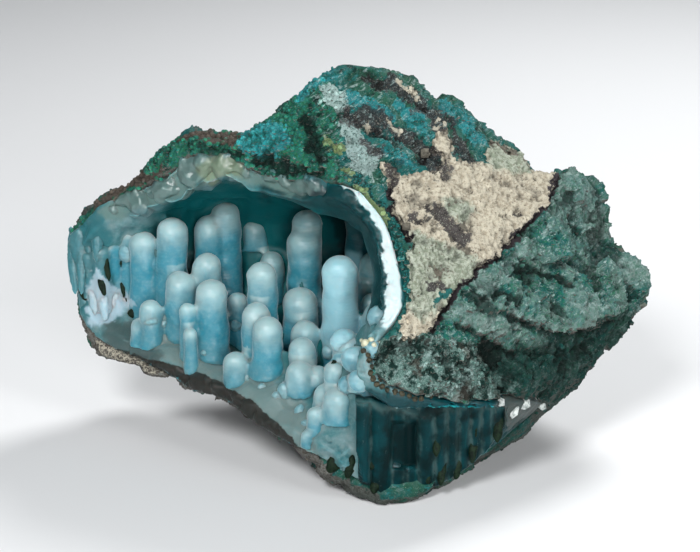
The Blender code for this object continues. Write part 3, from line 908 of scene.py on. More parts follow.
def rockMaterial():
    material, tree, shader = newMaterial("greenRock", rockColours["teal"])
    where = objectPlace(tree)
    patterns = rockPatterns(tree, where)
    made = blended(tree, patterns, rockRecipes)
    made["tanCrust"] = tanColour(tree, where, patterns["middle"], patterns["fine"])
    dark = made["dark"]

    # the crown and the hidden sides, the lump, then the granular roof
    colour = mixed(tree, paint(tree, "hidden"), made["crown"], made["back"])
    lump = coated(tree, made["lump"], patterns, made, rockCoats["lump"])
    # painted shade on the lump's lower right flank
    shade = times(tree, paint(tree, "shade"), ranged(tree, patterns["middle"], 0.25, 0.6, 0.85, 0.4))
    lump = mixed(tree, shade, lump, dark)
    colour = mixed(tree, ragged(tree, paint(tree, "lump"), patterns["fine"]), colour, lump)
    colour = mixed(tree, ragged(tree, paint(tree, "roof"), patterns["fine"]), colour, made["roof"])
    colour = coated(tree, colour, patterns, made, rockCoats["surface"])

    # thin pale and dark streaks over the whole crown
    bare = minus(tree, 1.0, paint(tree, "tan"), clamp=True)
    crown = times(tree, paint(tree, "crown"), bare)
    pale = times(tree, crown, ranged(tree, patterns["streak"], 0.52, 0.68, 0.0, 0.55))
    colour = mixed(tree, pale, colour, made["white"])
    streaks = times(tree, crown, ranged(tree, patterns["mottle"], 0.42, 0.3, 0.0, 0.8))
    colour = mixed(tree, streaks, colour, dark)

    # the broken foot and the underside
    colour = coated(tree, colour, patterns, made, rockCoats["foot"])
    up = addNode(tree, "ShaderNodeSeparateXYZ", {
        0: addNode(tree, "ShaderNodeNewGeometry").outputs["Normal"]}).outputs[2]
    under = timesPlus(tree, centred(tree, patterns["broad"]), 1.6, up)
    colour = mixed(tree, ranged(tree, under, -0.25, -0.6), colour, made["footStone"])
    # painted shade under the lump and along the rock's lower edge
    colour = mixed(tree, times(tree, paint(tree, "shade"), 0.6), colour, dark)

    # single grains are lighter or darker
    grain = ranged(tree, paint(tree, "tint"), 0.0, 1.0, 0.85, 1.7, "LINEAR")
    colour = mixed(tree, 1.0, colour, grain, "MULTIPLY")
    # painted shade in the hollows of the relief
    colour = paintedHollowShade(tree, colour, -0.75, 0.05, 0.35, 1.0)

    height = timesPlus(tree, patterns["tiny"], 0.5, patterns["fine"])
    height = timesPlus(tree, patterns["speck"], -0.4, height)
    granular = plus(tree, paint(tree, "roof"), paint(tree, "strip"), clamp=True)
    tree.links.new(ranged(tree, granular, 0.0, 1.0, 0.7, 0.5), shader.inputs["Roughness"])
    finished(tree, shader, colour, bumped(tree, height, 0.4), {"Specular IOR Level": 0.18})
    return material


# The porous tan crust, a raised patch on the rock

tanPatch = {
    "thickness": 1.3,
    "voxel": 0.21,
    "from": 0.4,               # painted share from which the crust covers the rock
    "lumpHeight": 1.5,
    "poreDepth": 0.6,
    "edgeSunk": 0.55,
    "recipes": {"speckledPurple": ("purple", ("tiny", 0.55, 0.7, 1.0, "tanGrey"))},
    "coats": [("purple", "speckledPurple", "mottle", 1.1, 0.95, 0.3),
              ("seam", "purple", "mottle", 0.7, 1.0, 0.25), ("turquoise", "teal", "fine", 0.5)],
}


def tanReliefTree():
    tree, source = newTree("poreCrust", {"Lump height": 0.6, "Pore depth": 0.3, "Finish": None})
    where = placeInMm(tree)
    lumps = centred(tree, noise(tree, where, 2.6, 5.0, 0.62))
    height = times(tree, lumps, times(tree, source["Lump height"], 2.0))
    pores = ranged(tree, cells(tree, warped(tree, where, 0.8, 0.2), 0.62), 0.12, 0.34, 1.0, 0.0)
    fewer = ranged(tree, noise(tree, where, 1.9, 5.0, 0.65), 0.42, 0.6, 1.0, 0.25)
    pores = times(tree, pores, fewer)
    height = minus(tree, height, times(tree, pores, source["Pore depth"]))
    fine = centred(tree, noise(tree, where, 0.4, 3.0, 0.7))
    height = timesPlus(tree, fine, 0.6, height)
    knobs = centred(tree, noise(tree, where, 1.1, 4.0, 0.65))
    height = timesPlus(tree, knobs, source["Lump height"], height)
    sunk = ranged(tree, named(tree, "tan"), 0.35, 0.95, tanPatch["edgeSunk"], 0.0)
    height = timesPlus(tree, named(tree, "purple"), -0.3, minus(tree, height, sunk))
    endTree(tree, pushed(tree, stored(tree, source["Geometry"], "relief", height), height))
    return tree


def tanMaterial():
    material, tree, shader = newMaterial("porousTan", rockColours["tan"])
    where = objectPlace(tree)
    patterns = rockPatterns(tree, where)
    made = blended(tree, patterns, tanPatch["recipes"])
    colour = tanColour(tree, where, patterns["middle"], patterns["fine"])
    colour = coated(tree, colour, patterns, made, tanPatch["coats"])
    # painted shade in the hollows of the crust's relief
    colour = paintedHollowShade(tree, colour, -0.8, 0.1, 0.3, 1.05)
    bump = bumped(tree, plus(tree, patterns["fine"], patterns["tiny"]), 0.3)
    finished(tree, shader, colour, bump, {"Roughness": 0.85})
    return material


def tanMesh(base):
    # the rock's own surface under the painted patch, thickened and made finer
    bm = bmesh.new()
    bm.from_mesh(base)
    layer = bm.verts.layers.float["tan"]
    bare = [f for f in bm.faces if min(v[layer] for v in f.verts) < tanPatch["from"]]
    bmesh.ops.delete(bm, geom=bare, context="FACES")
    mesh = bpy.data.meshes.new("tan")
    bm.to_mesh(mesh)
    bm.free()
    mesh = modified(mesh, "SOLIDIFY", thickness=tanPatch["thickness"] * mm, offset=0.1)
    mesh = smoothed(remeshed(mesh, tanPatch["voxel"]), 3)
    paintZones(mesh, {name: rockZones[name] for name in ("tan", "greyTan", "purple", "seam", "turquoise")})
    return mesh


# Grains, chips and small crystals strewn on the rock

bits = {
    # zones, number per square mm, smallest and largest radius, flatness, shape, lightest tint and seed
    "roof_grains": (("roof", "strip"), 1.6, 0.18, 0.55, 0.85, "ball", 1.0, 11),
    "all_chips": (("free",), 0.1, 0.15, 0.5, 0.35, "chip", 0.5, 10),
    "lump_chips": (("lump",), 0.9, 0.12, 0.42, 0.3, "chip", 0.4, 12),
    "crown_chips": (("turquoise", "pale", "purple", "cream", "yellow"), 2.0, 0.15, 0.5, 0.5, "chip", 0.6, 13),
    "drusy_crystals": (("drusy",), 1.7, 0.2, 0.5, 0.35, "crystal", 0.9, 14),
}


def bitsTree(name, shape, zones):
    tree, source = newTree(name, {
        "Per square mm": 1.0, "Smallest": 0.2, "Largest": 0.5, "Flatness": 0.8, "Tint": 1.0,
        "Seed": 1, "Finish": None})
    share = named(tree, zones[0])
    for zone in zones[1:]:
        share = calc(tree, "MAXIMUM", share, named(tree, zone))
    share = times(tree, ranged(tree, share, 0.35, 0.65), named(tree, "free"))
    share = times(tree, share, named(tree, "room"))
    density = times(tree, share, calc(tree, "DIVIDE", source["Per square mm"], mm * mm))
    strewn = addNode(tree, "GeometryNodeDistributePointsOnFaces", {
        "Mesh": source["Geometry"], "Density": density, "Seed": source["Seed"]}).outputs
    tint = drawn(tree, 0.0, source["Tint"], source["Seed"], 1.0)
    tinted = stored(tree, strewn["Points"], "tint", times(tree, tint, tint))
    if shape == "crystal":
        # a pointed six-sided prism that stands on the surface
        form = addNode(tree, "GeometryNodeMeshCone", {
            "Vertices": 6, "Side Segments": 2, "Radius Top": 0.25, "Radius Bottom": 1.0,
            "Depth": 4.0}).outputs[0]
        turn = strewn["Rotation"]
    else:
        form = addNode(tree, "GeometryNodeMeshIcoSphere", {
            "Radius": 1.0, "Subdivisions": 2 if shape == "ball" else 1}).outputs[0]
        turn = drawn(tree, (0.0, 0.0, 0.0), (6.3, 6.3, 6.3), source["Seed"], 2.0)
    size = times(tree, drawn(tree, source["Smallest"], source["Largest"], source["Seed"], 3.0), mm)
    stretch = addNode(tree, "ShaderNodeCombineXYZ", {
        0: size, 1: size, 2: times(tree, size, source["Flatness"])}).outputs[0]
    placed = addNode(tree, "GeometryNodeInstanceOnPoints", {
        "Points": tinted, "Instance": form, "Rotation": turn, "Scale": stretch}).outputs[0]
    if shape == "crystal":
        lean = drawn(tree, (-0.6, -0.6, 0.0), (0.6, 0.6, 1.0), source["Seed"], 4.0)
        placed = addNode(tree, "GeometryNodeRotateInstances", {0: placed, "Rotation": lean}).outputs[0]
    endTree(tree, placed)
    return tree


def strewBits(base, finish):
    for name, (zones, count, smallest, largest, flatness, shape, tint, seed) in bits.items():
        values = {"Per square mm": count, "Smallest": smallest, "Largest": largest, "Flatness": flatness,
                  "Tint": tint, "Seed": seed, "Finish": finish}
        mesh = grown(base.copy(), bitsTree(name, shape, zones), values)
        piece(name, mesh, finish, "matrix_rock", smooth=shape == "ball")


def makeRock(crustTree):
    finish = rockMaterial()
    values = {"Ledge size": rock["ledgeSize"], "Ledge slope": rock["ledgeSlope"],
              "Crag height": rock["cragHeight"], "Grain height": rock["grainHeight"],
              "Fine height": rock["fineHeight"], "Finish": finish}
    base = rockMesh(crustTree)
    crust = tanMesh(base)
    mesh = grown(base, rockReliefTree(), values)
    strewBits(mesh, finish)
    piece("green_rock", mesh, finish, "matrix_rock")
    finish = tanMaterial()
    values = {"Lump height": tanPatch["lumpHeight"], "Pore depth": tanPatch["poreDepth"], "Finish": finish}
    piece("tan_crust", grown(crust, tanReliefTree(), values), finish, "matrix_rock")


# The chalcedony fingers

fingers = {
    "voxel": 0.325,
    "segments": 28,
    "rings": 56,
    "bulge": 0.13,             # uneven thickness, as a share of the radius
    "bulgeSize": 3.2,
    "taper": 0.2,              # how much wider a finger is at its foot
    "domeShare": 0.24,         # shares of the ball's half turn that make the dome and the shaft
    "shaftShare": 0.97,
    "lean": 0.02,              # sideways for each mm of height, at most
    "smoothRounds": 2,
    "skin": 0.22,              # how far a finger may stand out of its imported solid
    "stub": 3.0,               # the shortest finger
    "ribHeight": 0.016,
    "ribSpacing": 0.55,
    "seed": 3,
    # x, y, height of the tip and radius
    "places": [
        (-44.0, 20.0, 33.8, 2.0), (-42.2, 18.5, 29.5, 1.5), (-40.3, 17.5, 30.7, 1.5),
        (-38.7, 19.0, 33.3, 1.3), (-36.0, 20.0, 33.5, 2.1), (-33.4, 17.5, 32.9, 2.2),
        (-33.0, 23.0, 33.9, 2.1), (-28.6, 16.0, 35.7, 2.5), (-27.2, 12.0, 27.9, 2.5),
        (-22.9, 14.0, 30.4, 2.4), (-22.0, 8.5, 27.7, 2.5), (-20.3, 21.0, 36.9, 2.5),
        (-23.0, 19.5, 35.0, 2.2), (-15.8, 25.0, 33.3, 2.3), (-13.9, 7.0, 31.1, 2.4),
        (-14.8, 3.5, 25.5, 2.3), (-12.9, 0.0, 24.4, 2.4), (-18.0, 0.5, 18.4, 1.9),
        (-18.2, 14.0, 23.7, 1.8), (-12.8, 22.0, 28.1, 2.0), (-6.9, 16.0, 37.0, 2.4),
        (-7.5, 15.0, 34.3, 2.8), (-8.0, 9.5, 26.0, 2.8), (-7.1, 4.5, 22.2, 2.3),
        (-7.5, -1.0, 21.3, 2.2), (-7.9, -4.5, 18.6, 2.3), (-5.0, -4.0, 17.7, 1.8),
        (-1.6, 4.0, 33.1, 2.8), (2.1, 12.0, 26.4, 1.3), (3.5, 9.0, 25.2, 1.9),
        (4.4, 3.0, 25.8, 2.5), (0.3, -6.0, 23.7, 2.9), (2.7, -10.0, 23.8, 2.6),
        (-3.8, -9.0, 16.6, 1.8), (-1.7, -12.0, 17.1, 2.4), (-5.3, -11.5, 13.8, 1.4),
        (-6.6, -12.0, 10.2, 0.9), (1.6, 20.0, 36.9, 2.4), (5.5, 17.0, 36.1, 2.1),
        (3.8, 14.0, 30.6, 2.4), (-32.0, 11.0, 23.5, 1.8), (-33.8, 12.0, 20.1, 1.6),
        (-25.8, 7.0, 24.3, 1.3), (-25.3, 5.0, 20.8, 1.1), (-3.2, 14.0, 22.5, 2.4),
        (-2.2, -9.5, 20.6, 1.8), (5.0, -11.0, 26.4, 2.2), (1.2, -12.6, 20.2, 1.8),
        (4.0, -14.0, 21.6, 2.2), (5.6, -15.2, 18.4, 2.0),
    ],
}

curtain = {
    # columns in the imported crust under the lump
    "places": [
        (2.2, -15.8, 15.4, 1.5), (5.2, -15.4, 30, 1.7), (9.0, -10.0, 30, 3.2),
        (13.0, -14.4, 30, 2.0), (16.0, -12.6, 30, 2.0), (19.0, -10.4, 30, 1.9),
        (21.8, -7.8, 30, 1.8), (24.4, -5.2, 30, 1.9), (27.0, -2.2, 30, 2.0), (29.5, 1.0, 30, 2.0),
    ],
    # the broken wall that closes the gap in front of them, seen in pixels
    "outline": [(354, 398), (372, 400), (400, 405), (430, 406), (462, 403), (484, 402), (506, 404),
                (506, 428), (490, 450), (470, 468), (448, 482), (425, 493), (402, 500), (382, 496),
                (364, 482), (354, 450)],
    "step": 1.15,
    "corner": (365.0, 400.0),
    "depth": -27.6,            # place of that corner from front to back, in mm
    "acrossSlope": 0.034,      # mm further back for each pixel to the right, more so further on
    "acrossCurve": 0.00018,
    "downSlope": 0.026,        # and for each pixel down, more so to the right
    "turnSlope": 0.0001,
    # middle, half width, bulge and setback of each column
    "columns": [(361, 10, 2.2, 0.0), (381, 12, 2.0, 0.5), (400, 9, 0.7, 1.3), (412, 9, 0.7, 1.5),
                (427, 10, 2.0, 0.2), (441, 8, 2.2, 0.3), (453, 7, 1.8, 0.0), (464, 8, 2.1, 0.4),
                (476, 7, 1.9, 0.3), (488, 8, 1.9, 0.0), (499, 8, 1.6, 0.3)],
    "grooveDepth": 0.6,        # how far back the wall lies between the columns
    "seamWidth": 2.6,
    # the dark window, in pixels, and how far back it lies between its posts
    "windowTop": 424.0,
    "windowFoot": 466.0,
    "windowMiddle": 406.0,
    "windowDepth": 0.9,
    # the ledge over the columns
    "ledge": [(354, 401), (372, 404), (383, 411), (392, 408), (408, 413), (425, 417), (440, 412),
              (452, 409), (470, 405), (484, 405), (506, 407)],
    "ledgeOut": 0.9,
    "ledgeFills": 0.75,        # share of the grooves that the ledge fills
    "ledgeSeam": 7.0,
    "hidesFrom": 408.0,        # what lies behind the wall is kept clear of it below this row
    "clear": 0.5,
    "thickness": 1.6,
}

hollow = {
    "mouthLeft": (-45.0, 21.0),    # the open side runs between these two places
    "mouthRight": (2.0, -20.0),
    # painted shade turns the fingers and walls dark teal over these depths in the hollow
    "fingersDarken": (12.0, 36.0),    # the depth over which the fingers turn teal
    "wallsDarken": (2.0, 9.0),        # and the walls
    "fractureDepth": 10.0,            # the walls are broken rough up to here
    "nearFades": 0.35,                # a place belongs to a finger within this reach of its side
    "nearReach": 1.5,
    "nearAbove": 0.6,                 # and up to this far above its tip
}


def fingerTree():
    tree, source = newTree("growFingers", {
        "Segments": 24, "Rings": 48, "Bulge": 0.1, "Bulge size": 3.0, "Taper": 0.15, "Finish": None})
    start = addNode(tree, "GeometryNodeInputPosition").outputs[0]
    marked = stored(tree, source["Geometry"], "start", start, "FLOAT_VECTOR")
    ball = addNode(tree, "GeometryNodeMeshUVSphere", {
        "Segments": source["Segments"], "Rings": source["Rings"], "Radius": 1.0}).outputs[0]
    balls = addNode(tree, "GeometryNodeInstanceOnPoints", {"Points": marked, "Instance": ball}).outputs[0]
    whole = addNode(tree, "GeometryNodeRealizeInstances", {0: balls}).outputs[0]

    # a ball's latitude becomes the way from the tip to the foot
    base = named(tree, "start", "FLOAT_VECTOR")
    here = addNode(tree, "GeometryNodeInputPosition").outputs[0]
    side = addNode(tree, "ShaderNodeSeparateXYZ", {0: vectorCalc(tree, "SUBTRACT", here, base)[0]}).outputs
    height = calc(tree, "MINIMUM", calc(tree, "MAXIMUM", side[2], -1.0), 1.0)
    share = calc(tree, "DIVIDE", calc(tree, "ARCCOSINE", height), math.pi)
    flat = plus(tree, times(tree, side[0], side[0]), times(tree, side[1], side[1]))
    flat = calc(tree, "SQRT", calc(tree, "MAXIMUM", 1e-8, flat))
    across = calc(tree, "DIVIDE", side[0], flat)
    away = calc(tree, "DIVIDE", side[1], flat)

    # a dome, a shaft that widens downwards and a foot that closes
    radius = named(tree, "radius")
    dome = ranged(tree, share, 0.0, fingers["domeShare"], 0.0, math.pi / 2, "LINEAR")
    shaft = ranged(tree, share, fingers["domeShare"], fingers["shaftShare"], 0.0, 1.0, "LINEAR")
    closing = ranged(tree, share, fingers["shaftShare"], 1.0, 1.0, 0.0, "LINEAR")
    down = times(tree, radius, minus(tree, 1.0, calc(tree, "COSINE", dome)))
    down = timesPlus(tree, shaft, minus(tree, named(tree, "length"), radius), down)
    ring = times(tree, radius, calc(tree, "SINE", dome))
    wider = timesPlus(tree, times(tree, shaft, shaft), source["Taper"], 1.0)

    # uneven thickness, another one for each finger
    place = addNode(tree, "ShaderNodeCombineXYZ", {
        0: times(tree, across, 0.5), 1: away, 2: calc(tree, "DIVIDE", down, source["Bulge size"])}).outputs[0]
    ownPlace = vectorCalc(tree, "MULTIPLY_ADD", base, (700.0, 700.0, 700.0), place)[0]
    lumpy = addNode(tree, "ShaderNodeTexNoise", {"Vector": ownPlace, "Scale": 1.0, "Detail": 2.0}).outputs[0]
    lumpy = timesPlus(tree, centred(tree, lumpy), times(tree, source["Bulge"], 4.0), 1.0)
    ring = times(tree, times(tree, ring, wider), times(tree, closing, lumpy))

    moved = addNode(tree, "ShaderNodeCombineXYZ", {
        0: timesPlus(tree, across, ring, times(tree, named(tree, "leanX"), down)),
        1: timesPlus(tree, away, ring, times(tree, named(tree, "leanY"), down)),
        2: times(tree, down, -1.0)}).outputs[0]
    moved = vectorCalc(tree, "ADD", scaled(tree, moved, (mm, mm, mm)), base)[0]
    endTree(tree, addNode(tree, "GeometryNodeSetPosition", {0: whole, "Position": moved}).outputs[0])
    return tree


def fingerPoints(places, crustTree, drawing):
    # one vertex at each tip, with the finger's size as attributes
    tips = [Vector((x, y, z)) - rockOrigin for x, y, z, _ in places]
    mesh = bpy.data.meshes.new("tips")
    mesh.from_pydata([tuple(t * mm) for t in tips], [], [])
    lengths = []
    for tip in tips:
        under = crustTree.ray_cast(Vector((tip.x, tip.y, -1.0)) * mm, Vector((0, 0, 1)))[0]
        foot = under.z / mm + 0.5 if under is not None else tip.z - 8.0
        lengths.append(max(tip.z - foot, fingers["stub"]))
    setAttribute(mesh, "radius", [p[3] for p in places])
    setAttribute(mesh, "length", lengths)
    for name in ("leanX", "leanY"):
        setAttribute(mesh, name, drawing.uniform(-1, 1, len(places)) * fingers["lean"])
    return mesh


def heldIn(mesh, tree, skin):
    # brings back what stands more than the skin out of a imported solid, as at a broken face
    places = points(mesh)
    away, nearest = distances(places, tree)
    out = away > skin
    share = (skin / np.maximum(away, skin))[:, None]
    setPoints(mesh, np.where(out[:, None], nearest + (places - nearest) * share, places))
    return mesh


def fingerForms(places, crustTree, material, seed):
    values = {"Segments": fingers["segments"], "Rings": fingers["rings"], "Bulge": fingers["bulge"],
              "Bulge size": fingers["bulgeSize"], "Taper": fingers["taper"], "Finish": material}
    tips = fingerPoints(places, crustTree, np.random.default_rng(seed))
    return heldIn(grown(tips, fingerTree(), values), crustTree, fingers["skin"])


noFinger = 99.0    # "below" where no finger is near


def depthInHollow(places):
    # how far behind the open side each place lies, in mm
    left = np.array(hollow["mouthLeft"]) - np.array(rockOrigin[:2])
    right = np.array(hollow["mouthRight"]) - np.array(rockOrigin[:2])
    along = (right - left) / np.linalg.norm(right - left)
    return (places[:, :2] - left) @ np.array((-along[1], along[0]))


def paintChalcedony(mesh, places, darkening=hollow["fingersDarken"]):
    # how far below its finger's tip, in radii, and how deep in the hollow each place is, for painted shade
    # that darkens with depth
    where = points(mesh)
    below = np.full(len(where), 1e-9 * noFinger)
    total = np.full(len(where), 1e-9)
    for *tip, radius in places:
        x, y, z = Vector(tip) - rockOrigin
        side = np.hypot(where[:, 0] - x, where[:, 1] - y) - radius
        near = np.exp(-np.clip(side, 0.0, 4.0) / hollow["nearFades"])
        near = near * (where[:, 2] < z + hollow["nearAbove"]) * (side < hollow["nearReach"])
        below += near * (z - where[:, 2]) / radius
        total += near
    setAttribute(mesh, "below", below / total)
    setAttribute(mesh, "deep", smoothstep(*darkening, depthInHollow(where)))
    paintZones(mesh, chalcedonyZones)


chalcedonyZones = {
    # painted light: the big finger in front is painted lighter, as if more light reached it
    "paintedLight": {"soft": 5.0, "wobble": 2.0, "areas": [[(319, 252), (361, 252), (361, 362), (319, 348)]]},
    "sea": {"soft": 6.0, "areas": [
        [(60, 205), (100, 200), (112, 236), (108, 262), (120, 300), (84, 334), (66, 300)]]},
    "paleBlue": {"soft": 3.0, "wobble": 7.0, "areas": [
        [(84, 290), (94, 270), (112, 285), (126, 292), (136, 306), (124, 312), (112, 326), (92, 328)]]},
    "white": {"wobble": 4.0, "uneven": 0.25, "lines": [
        (12, [(370, 196), (380, 214), (389, 236), (393, 262), (394, 300), (392, 324)]),
        (5, [(345, 184), (357, 192), (370, 206)])]},
    "milky": {"soft": 8.0, "areas": [
        [(134, 322), (152, 314), (200, 334), (240, 350), (275, 380), (310, 415), (326, 478), (300, 462),
         (260, 415), (230, 392), (190, 376), (160, 360)]]},
    "lobe": {"soft": 6.0, "areas": [
        [(95, 212), (120, 192), (150, 186), (178, 161), (205, 150), (246, 160), (290, 176), (320, 188),
         (300, 198), (262, 188), (225, 180), (190, 195), (150, 206), (110, 220)]]},
    # the curtain's place, its own dark teal made darker with painted shade under the lump
    "teal": {"soft": 5.0, "areas": [
        [(368, 388), (400, 392), (470, 390), (530, 380), (560, 376), (560, 400), (500, 450), (440, 495),
         (398, 512), (374, 480), (372, 430)]]},
    # the hollow's wall behind the right rim, its own teal darkened with painted shade
    "inner": {"soft": 8.0, "areas": [
        [(250, 168), (320, 184), (345, 182), (368, 208), (380, 236), (386, 262), (388, 300), (384, 322),
         (366, 322), (340, 260), (330, 215), (300, 205), (260, 195)]]},
    # painted shade, near black, in the curtain's dark window and along its lower edge
    "paintedShadow": {"soft": 4.0, "areas": [
        [(394, 424), (418, 424), (419, 462), (406, 468), (394, 460)]],
        "lines": [(3, [(320, 468), (350, 482), (380, 498), (400, 504), (440, 490), (480, 462), (520, 428)])]},
    "slate": {"soft": 5.0, "wobble": 6.0, "areas": [
        [(100, 322), (130, 322), (150, 336), (166, 360), (150, 368), (112, 350)]]},
    "glassy": {"soft": 6.0, "areas": [
        [(498, 392), (524, 386), (560, 380), (572, 392), (540, 412), (508, 432), (496, 415)]]},
    "stone": {"soft": 2.0, "wobble": 2.5, "areas": [
        [(80, 336), (100, 343), (130, 353), (162, 363), (180, 367), (205, 375), (230, 388), (255, 403),
         (275, 421), (293, 438), (306, 460), (330, 478), (360, 492), (340, 520), (240, 460), (100, 400)]]},
    "yellow": {"soft": 5.0, "areas": [
        [(192, 170), (205, 160), (222, 156), (244, 160), (244, 174), (226, 178), (206, 184)]]},
}

chalcedonyColours = {
    "skin": (0.31, 0.435, 0.445),
    "core": (0.03, 0.22, 0.29),
    # painted shade deep in the hollow
    "deep": (0.003, 0.1, 0.108),
    "wallCore": (0.035, 0.15, 0.165),
    "wallSkin": (0.16, 0.25, 0.26),
    "white": (0.5, 0.6, 0.61),
    "paleBlue": (0.33, 0.44, 0.5),
    # painted light on the big finger in front
    "paintedLight": (0.32, 0.55, 0.61),
    "milky": (0.15, 0.215, 0.21),
    # the curtain's own teal, darkened with painted shade under the lump
    "teal": (0.002, 0.035, 0.042),
    # teal darkened with painted shade, on the wall behind the right rim
    "inner": (0.002, 0.03, 0.034),
    "sea": (0.02, 0.13, 0.15),
    # painted shade, near black
    "paintedShadow": (0.001, 0.01, 0.011),
    "slate": (0.06, 0.09, 0.088),
    "stone": (0.024, 0.025, 0.022),
    "glassy": (0.05, 0.064, 0.06),
    "lobe": (0.12, 0.2, 0.185),
    "yellow": (0.2, 0.26, 0.175),
}

zoneStrengths = {
    "fingers": {"milky": 0.2, "sea": 0.85, "teal": 0.97, "glassy": 0.9, "paintedShadow": 1.0, "paleBlue": 0.9,
                "paintedLight": 0.75},
    "wall": {"milky": 0.85, "sea": 0.85, "teal": 0.95, "inner": 0.95, "lobe": 0.85, "glassy": 0.9,
             "yellow": 0.8, "paintedShadow": 1.0, "slate": 0.85, "paleBlue": 0.9, "white": 1.0, "stone": 1.0},
}

# how far light goes into each kind of chalcedony, and its gloss
chalcedonyGloss = {
    "milkyFingers": {
        "Subsurface Weight": 1.0, "Subsurface Radius": (0.5, 1.0, 1.15), "Subsurface Scale": 2.2 * mm,
        "Roughness": 0.42, "IOR": 1.53, "Sheen Weight": 0.45, "Sheen Roughness": 0.3},
    "tealCurtain": {
        "Subsurface Weight": 1.0, "Subsurface Radius": (0.3, 1.0, 1.1), "Subsurface Scale": 1.2 * mm,
        "Roughness": 0.34, "IOR": 1.53, "Specular IOR Level": 0.07},
    "clearLobes": {
        "Subsurface Weight": 0.75, "Subsurface Radius": (0.8, 1.1, 1.1), "Subsurface Scale": 1.8 * mm,
        "Roughness": 0.28, "IOR": 1.53, "Transmission Weight": 0.25},
    "milkyLining": {
        "Subsurface Weight": 1.0, "Subsurface Radius": (0.5, 1.0, 1.15), "Subsurface Scale": 1.0 * mm,
        "Roughness": 0.4, "IOR": 1.53, "Specular IOR Level": 0.16},
}


def ribs(tree, where, spacing):
    # fine uneven growth lines that run round each finger
    height = addNode(tree, "ShaderNodeSeparateXYZ", {0: where}).outputs[2]
    drift = noise(tree, where, 2.2, 2.0, 0.5)
    turn = timesPlus(tree, drift, 9.0, times(tree, height, 2 * math.pi / spacing))
    return times(tree, calc(tree, "SINE", turn), noise(tree, where, 1.4, 2.0))


def chalcedonyMaterial(name, wall=False):
    # pale milky skin over a turquoise core, painted shade that turns it teal deep in the hollow, with the
    # painted zones
    c = chalcedonyColours
    material, tree, shader = newMaterial(name, c["skin"])
    where = objectPlace(tree)
    cloud = noise(tree, where, 2.6, 3.0, 0.5)
    fine = noise(tree, where, 0.7, 3.0, 0.6)
    if wall:
        colour = mixed(tree, ranged(tree, cloud, 0.3, 0.7), c["wallCore"], c["wallSkin"])
    else:
        below = timesPlus(tree, centred(tree, cloud), 2.0, paint(tree, "below"))
        colour = mixed(tree, ranged(tree, below, 0.1, 2.6), c["skin"], c["core"])
        colour = mixed(tree, ranged(tree, below, 5.0, 9.0, 0.0, 0.3), colour, c["skin"])
    colour = mixed(tree, ranged(tree, fine, 0.4, 0.8, 0.0, 0.25), colour, c["skin"])
    # painted shade deep in the hollow
    colour = mixed(tree, paint(tree, "deep"), colour, c["deep"])
    for zone, strength in zoneStrengths["wall" if wall else "fingers"].items():
        share = ragged(tree, paint(tree, zone), cloud, 0.25, 0.2 if zone in ("stone", "white") else 0.45)
        colour = mixed(tree, times(tree, share, strength), colour, c[zone])
    return material, tree, shader, where, colour


def fingerMaterial():
    material, tree, shader, where, colour = chalcedonyMaterial("milkyFingers")
    bump = bumped(tree, ribs(tree, where, fingers["ribSpacing"]), fingers["ribHeight"])
    finished(tree, shader, colour, bump, chalcedonyGloss["milkyFingers"])
    return material


def behindWall(mesh):
    # what the broken wall under the lump hides stays behind it
    places = points(mesh)
    px, py = seen(places)
    hidden = (areaDistance(px, py, curtain["outline"]) > 0.0) & (py > curtain["hidesFrom"])
    back = np.maximum(places[:, 1], curtainDepth(px, py) + curtain["clear"])
    places[:, 1] = np.where(hidden, back, places[:, 1])
    setPoints(mesh, places)


def makeFingers(crustTree):
    finish = fingerMaterial()
    mesh = fingerForms(fingers["places"], crustTree, finish, fingers["seed"])
    mesh = smoothed(remeshed(mesh, fingers["voxel"]), fingers["smoothRounds"])
    behindWall(mesh)
    paintChalcedony(mesh, fingers["places"])
    return piece("chalcedony_fingers", mesh, finish, "chalcedony_crust")


def curtainDepth(px, py):
    # how far back the broken wall lies, in mm, at each pixel
    over, down = px - curtain["corner"][0], py - curtain["corner"][1]
    plain = (curtain["depth"] + over * curtain["acrossSlope"] + over ** 2 * curtain["acrossCurve"]
             + down * (curtain["downSlope"] + over * curtain["turnSlope"]))
    top, foot = curtain["windowTop"], curtain["windowFoot"]
    window = smoothstep(top - 5.0, top + 1.0, py) * (1.0 - smoothstep(foot - 2.0, foot + 5.0, py))
    back = np.full(len(px), 9.0)
    for middle, half, bulge, setback in curtain["columns"]:
        across = np.abs(px - middle) / half
        # posts that stand back more than 1 mm do so in the window only
        setback = setback * window if setback > 1.0 else setback
        bow = bulge * np.sqrt(np.clip(1.0 - across ** 2, 0.0, 1.0))
        back = np.minimum(back, setback - bow + np.where(across > 1, 9.0, 0))
    posts = 1.0 - smoothstep(8.0, 16.0, np.abs(px - curtain["windowMiddle"]))
    back = np.minimum(back, curtain["grooveDepth"] + curtain["windowDepth"] * window * posts)
    edge = np.interp(px, *zip(*curtain["ledge"]))
    ledge = 1.0 - smoothstep(-0.5, 2.5, py - edge)
    return plain + back * (1.0 - curtain["ledgeFills"] * ledge) - curtain["ledgeOut"] * ledge


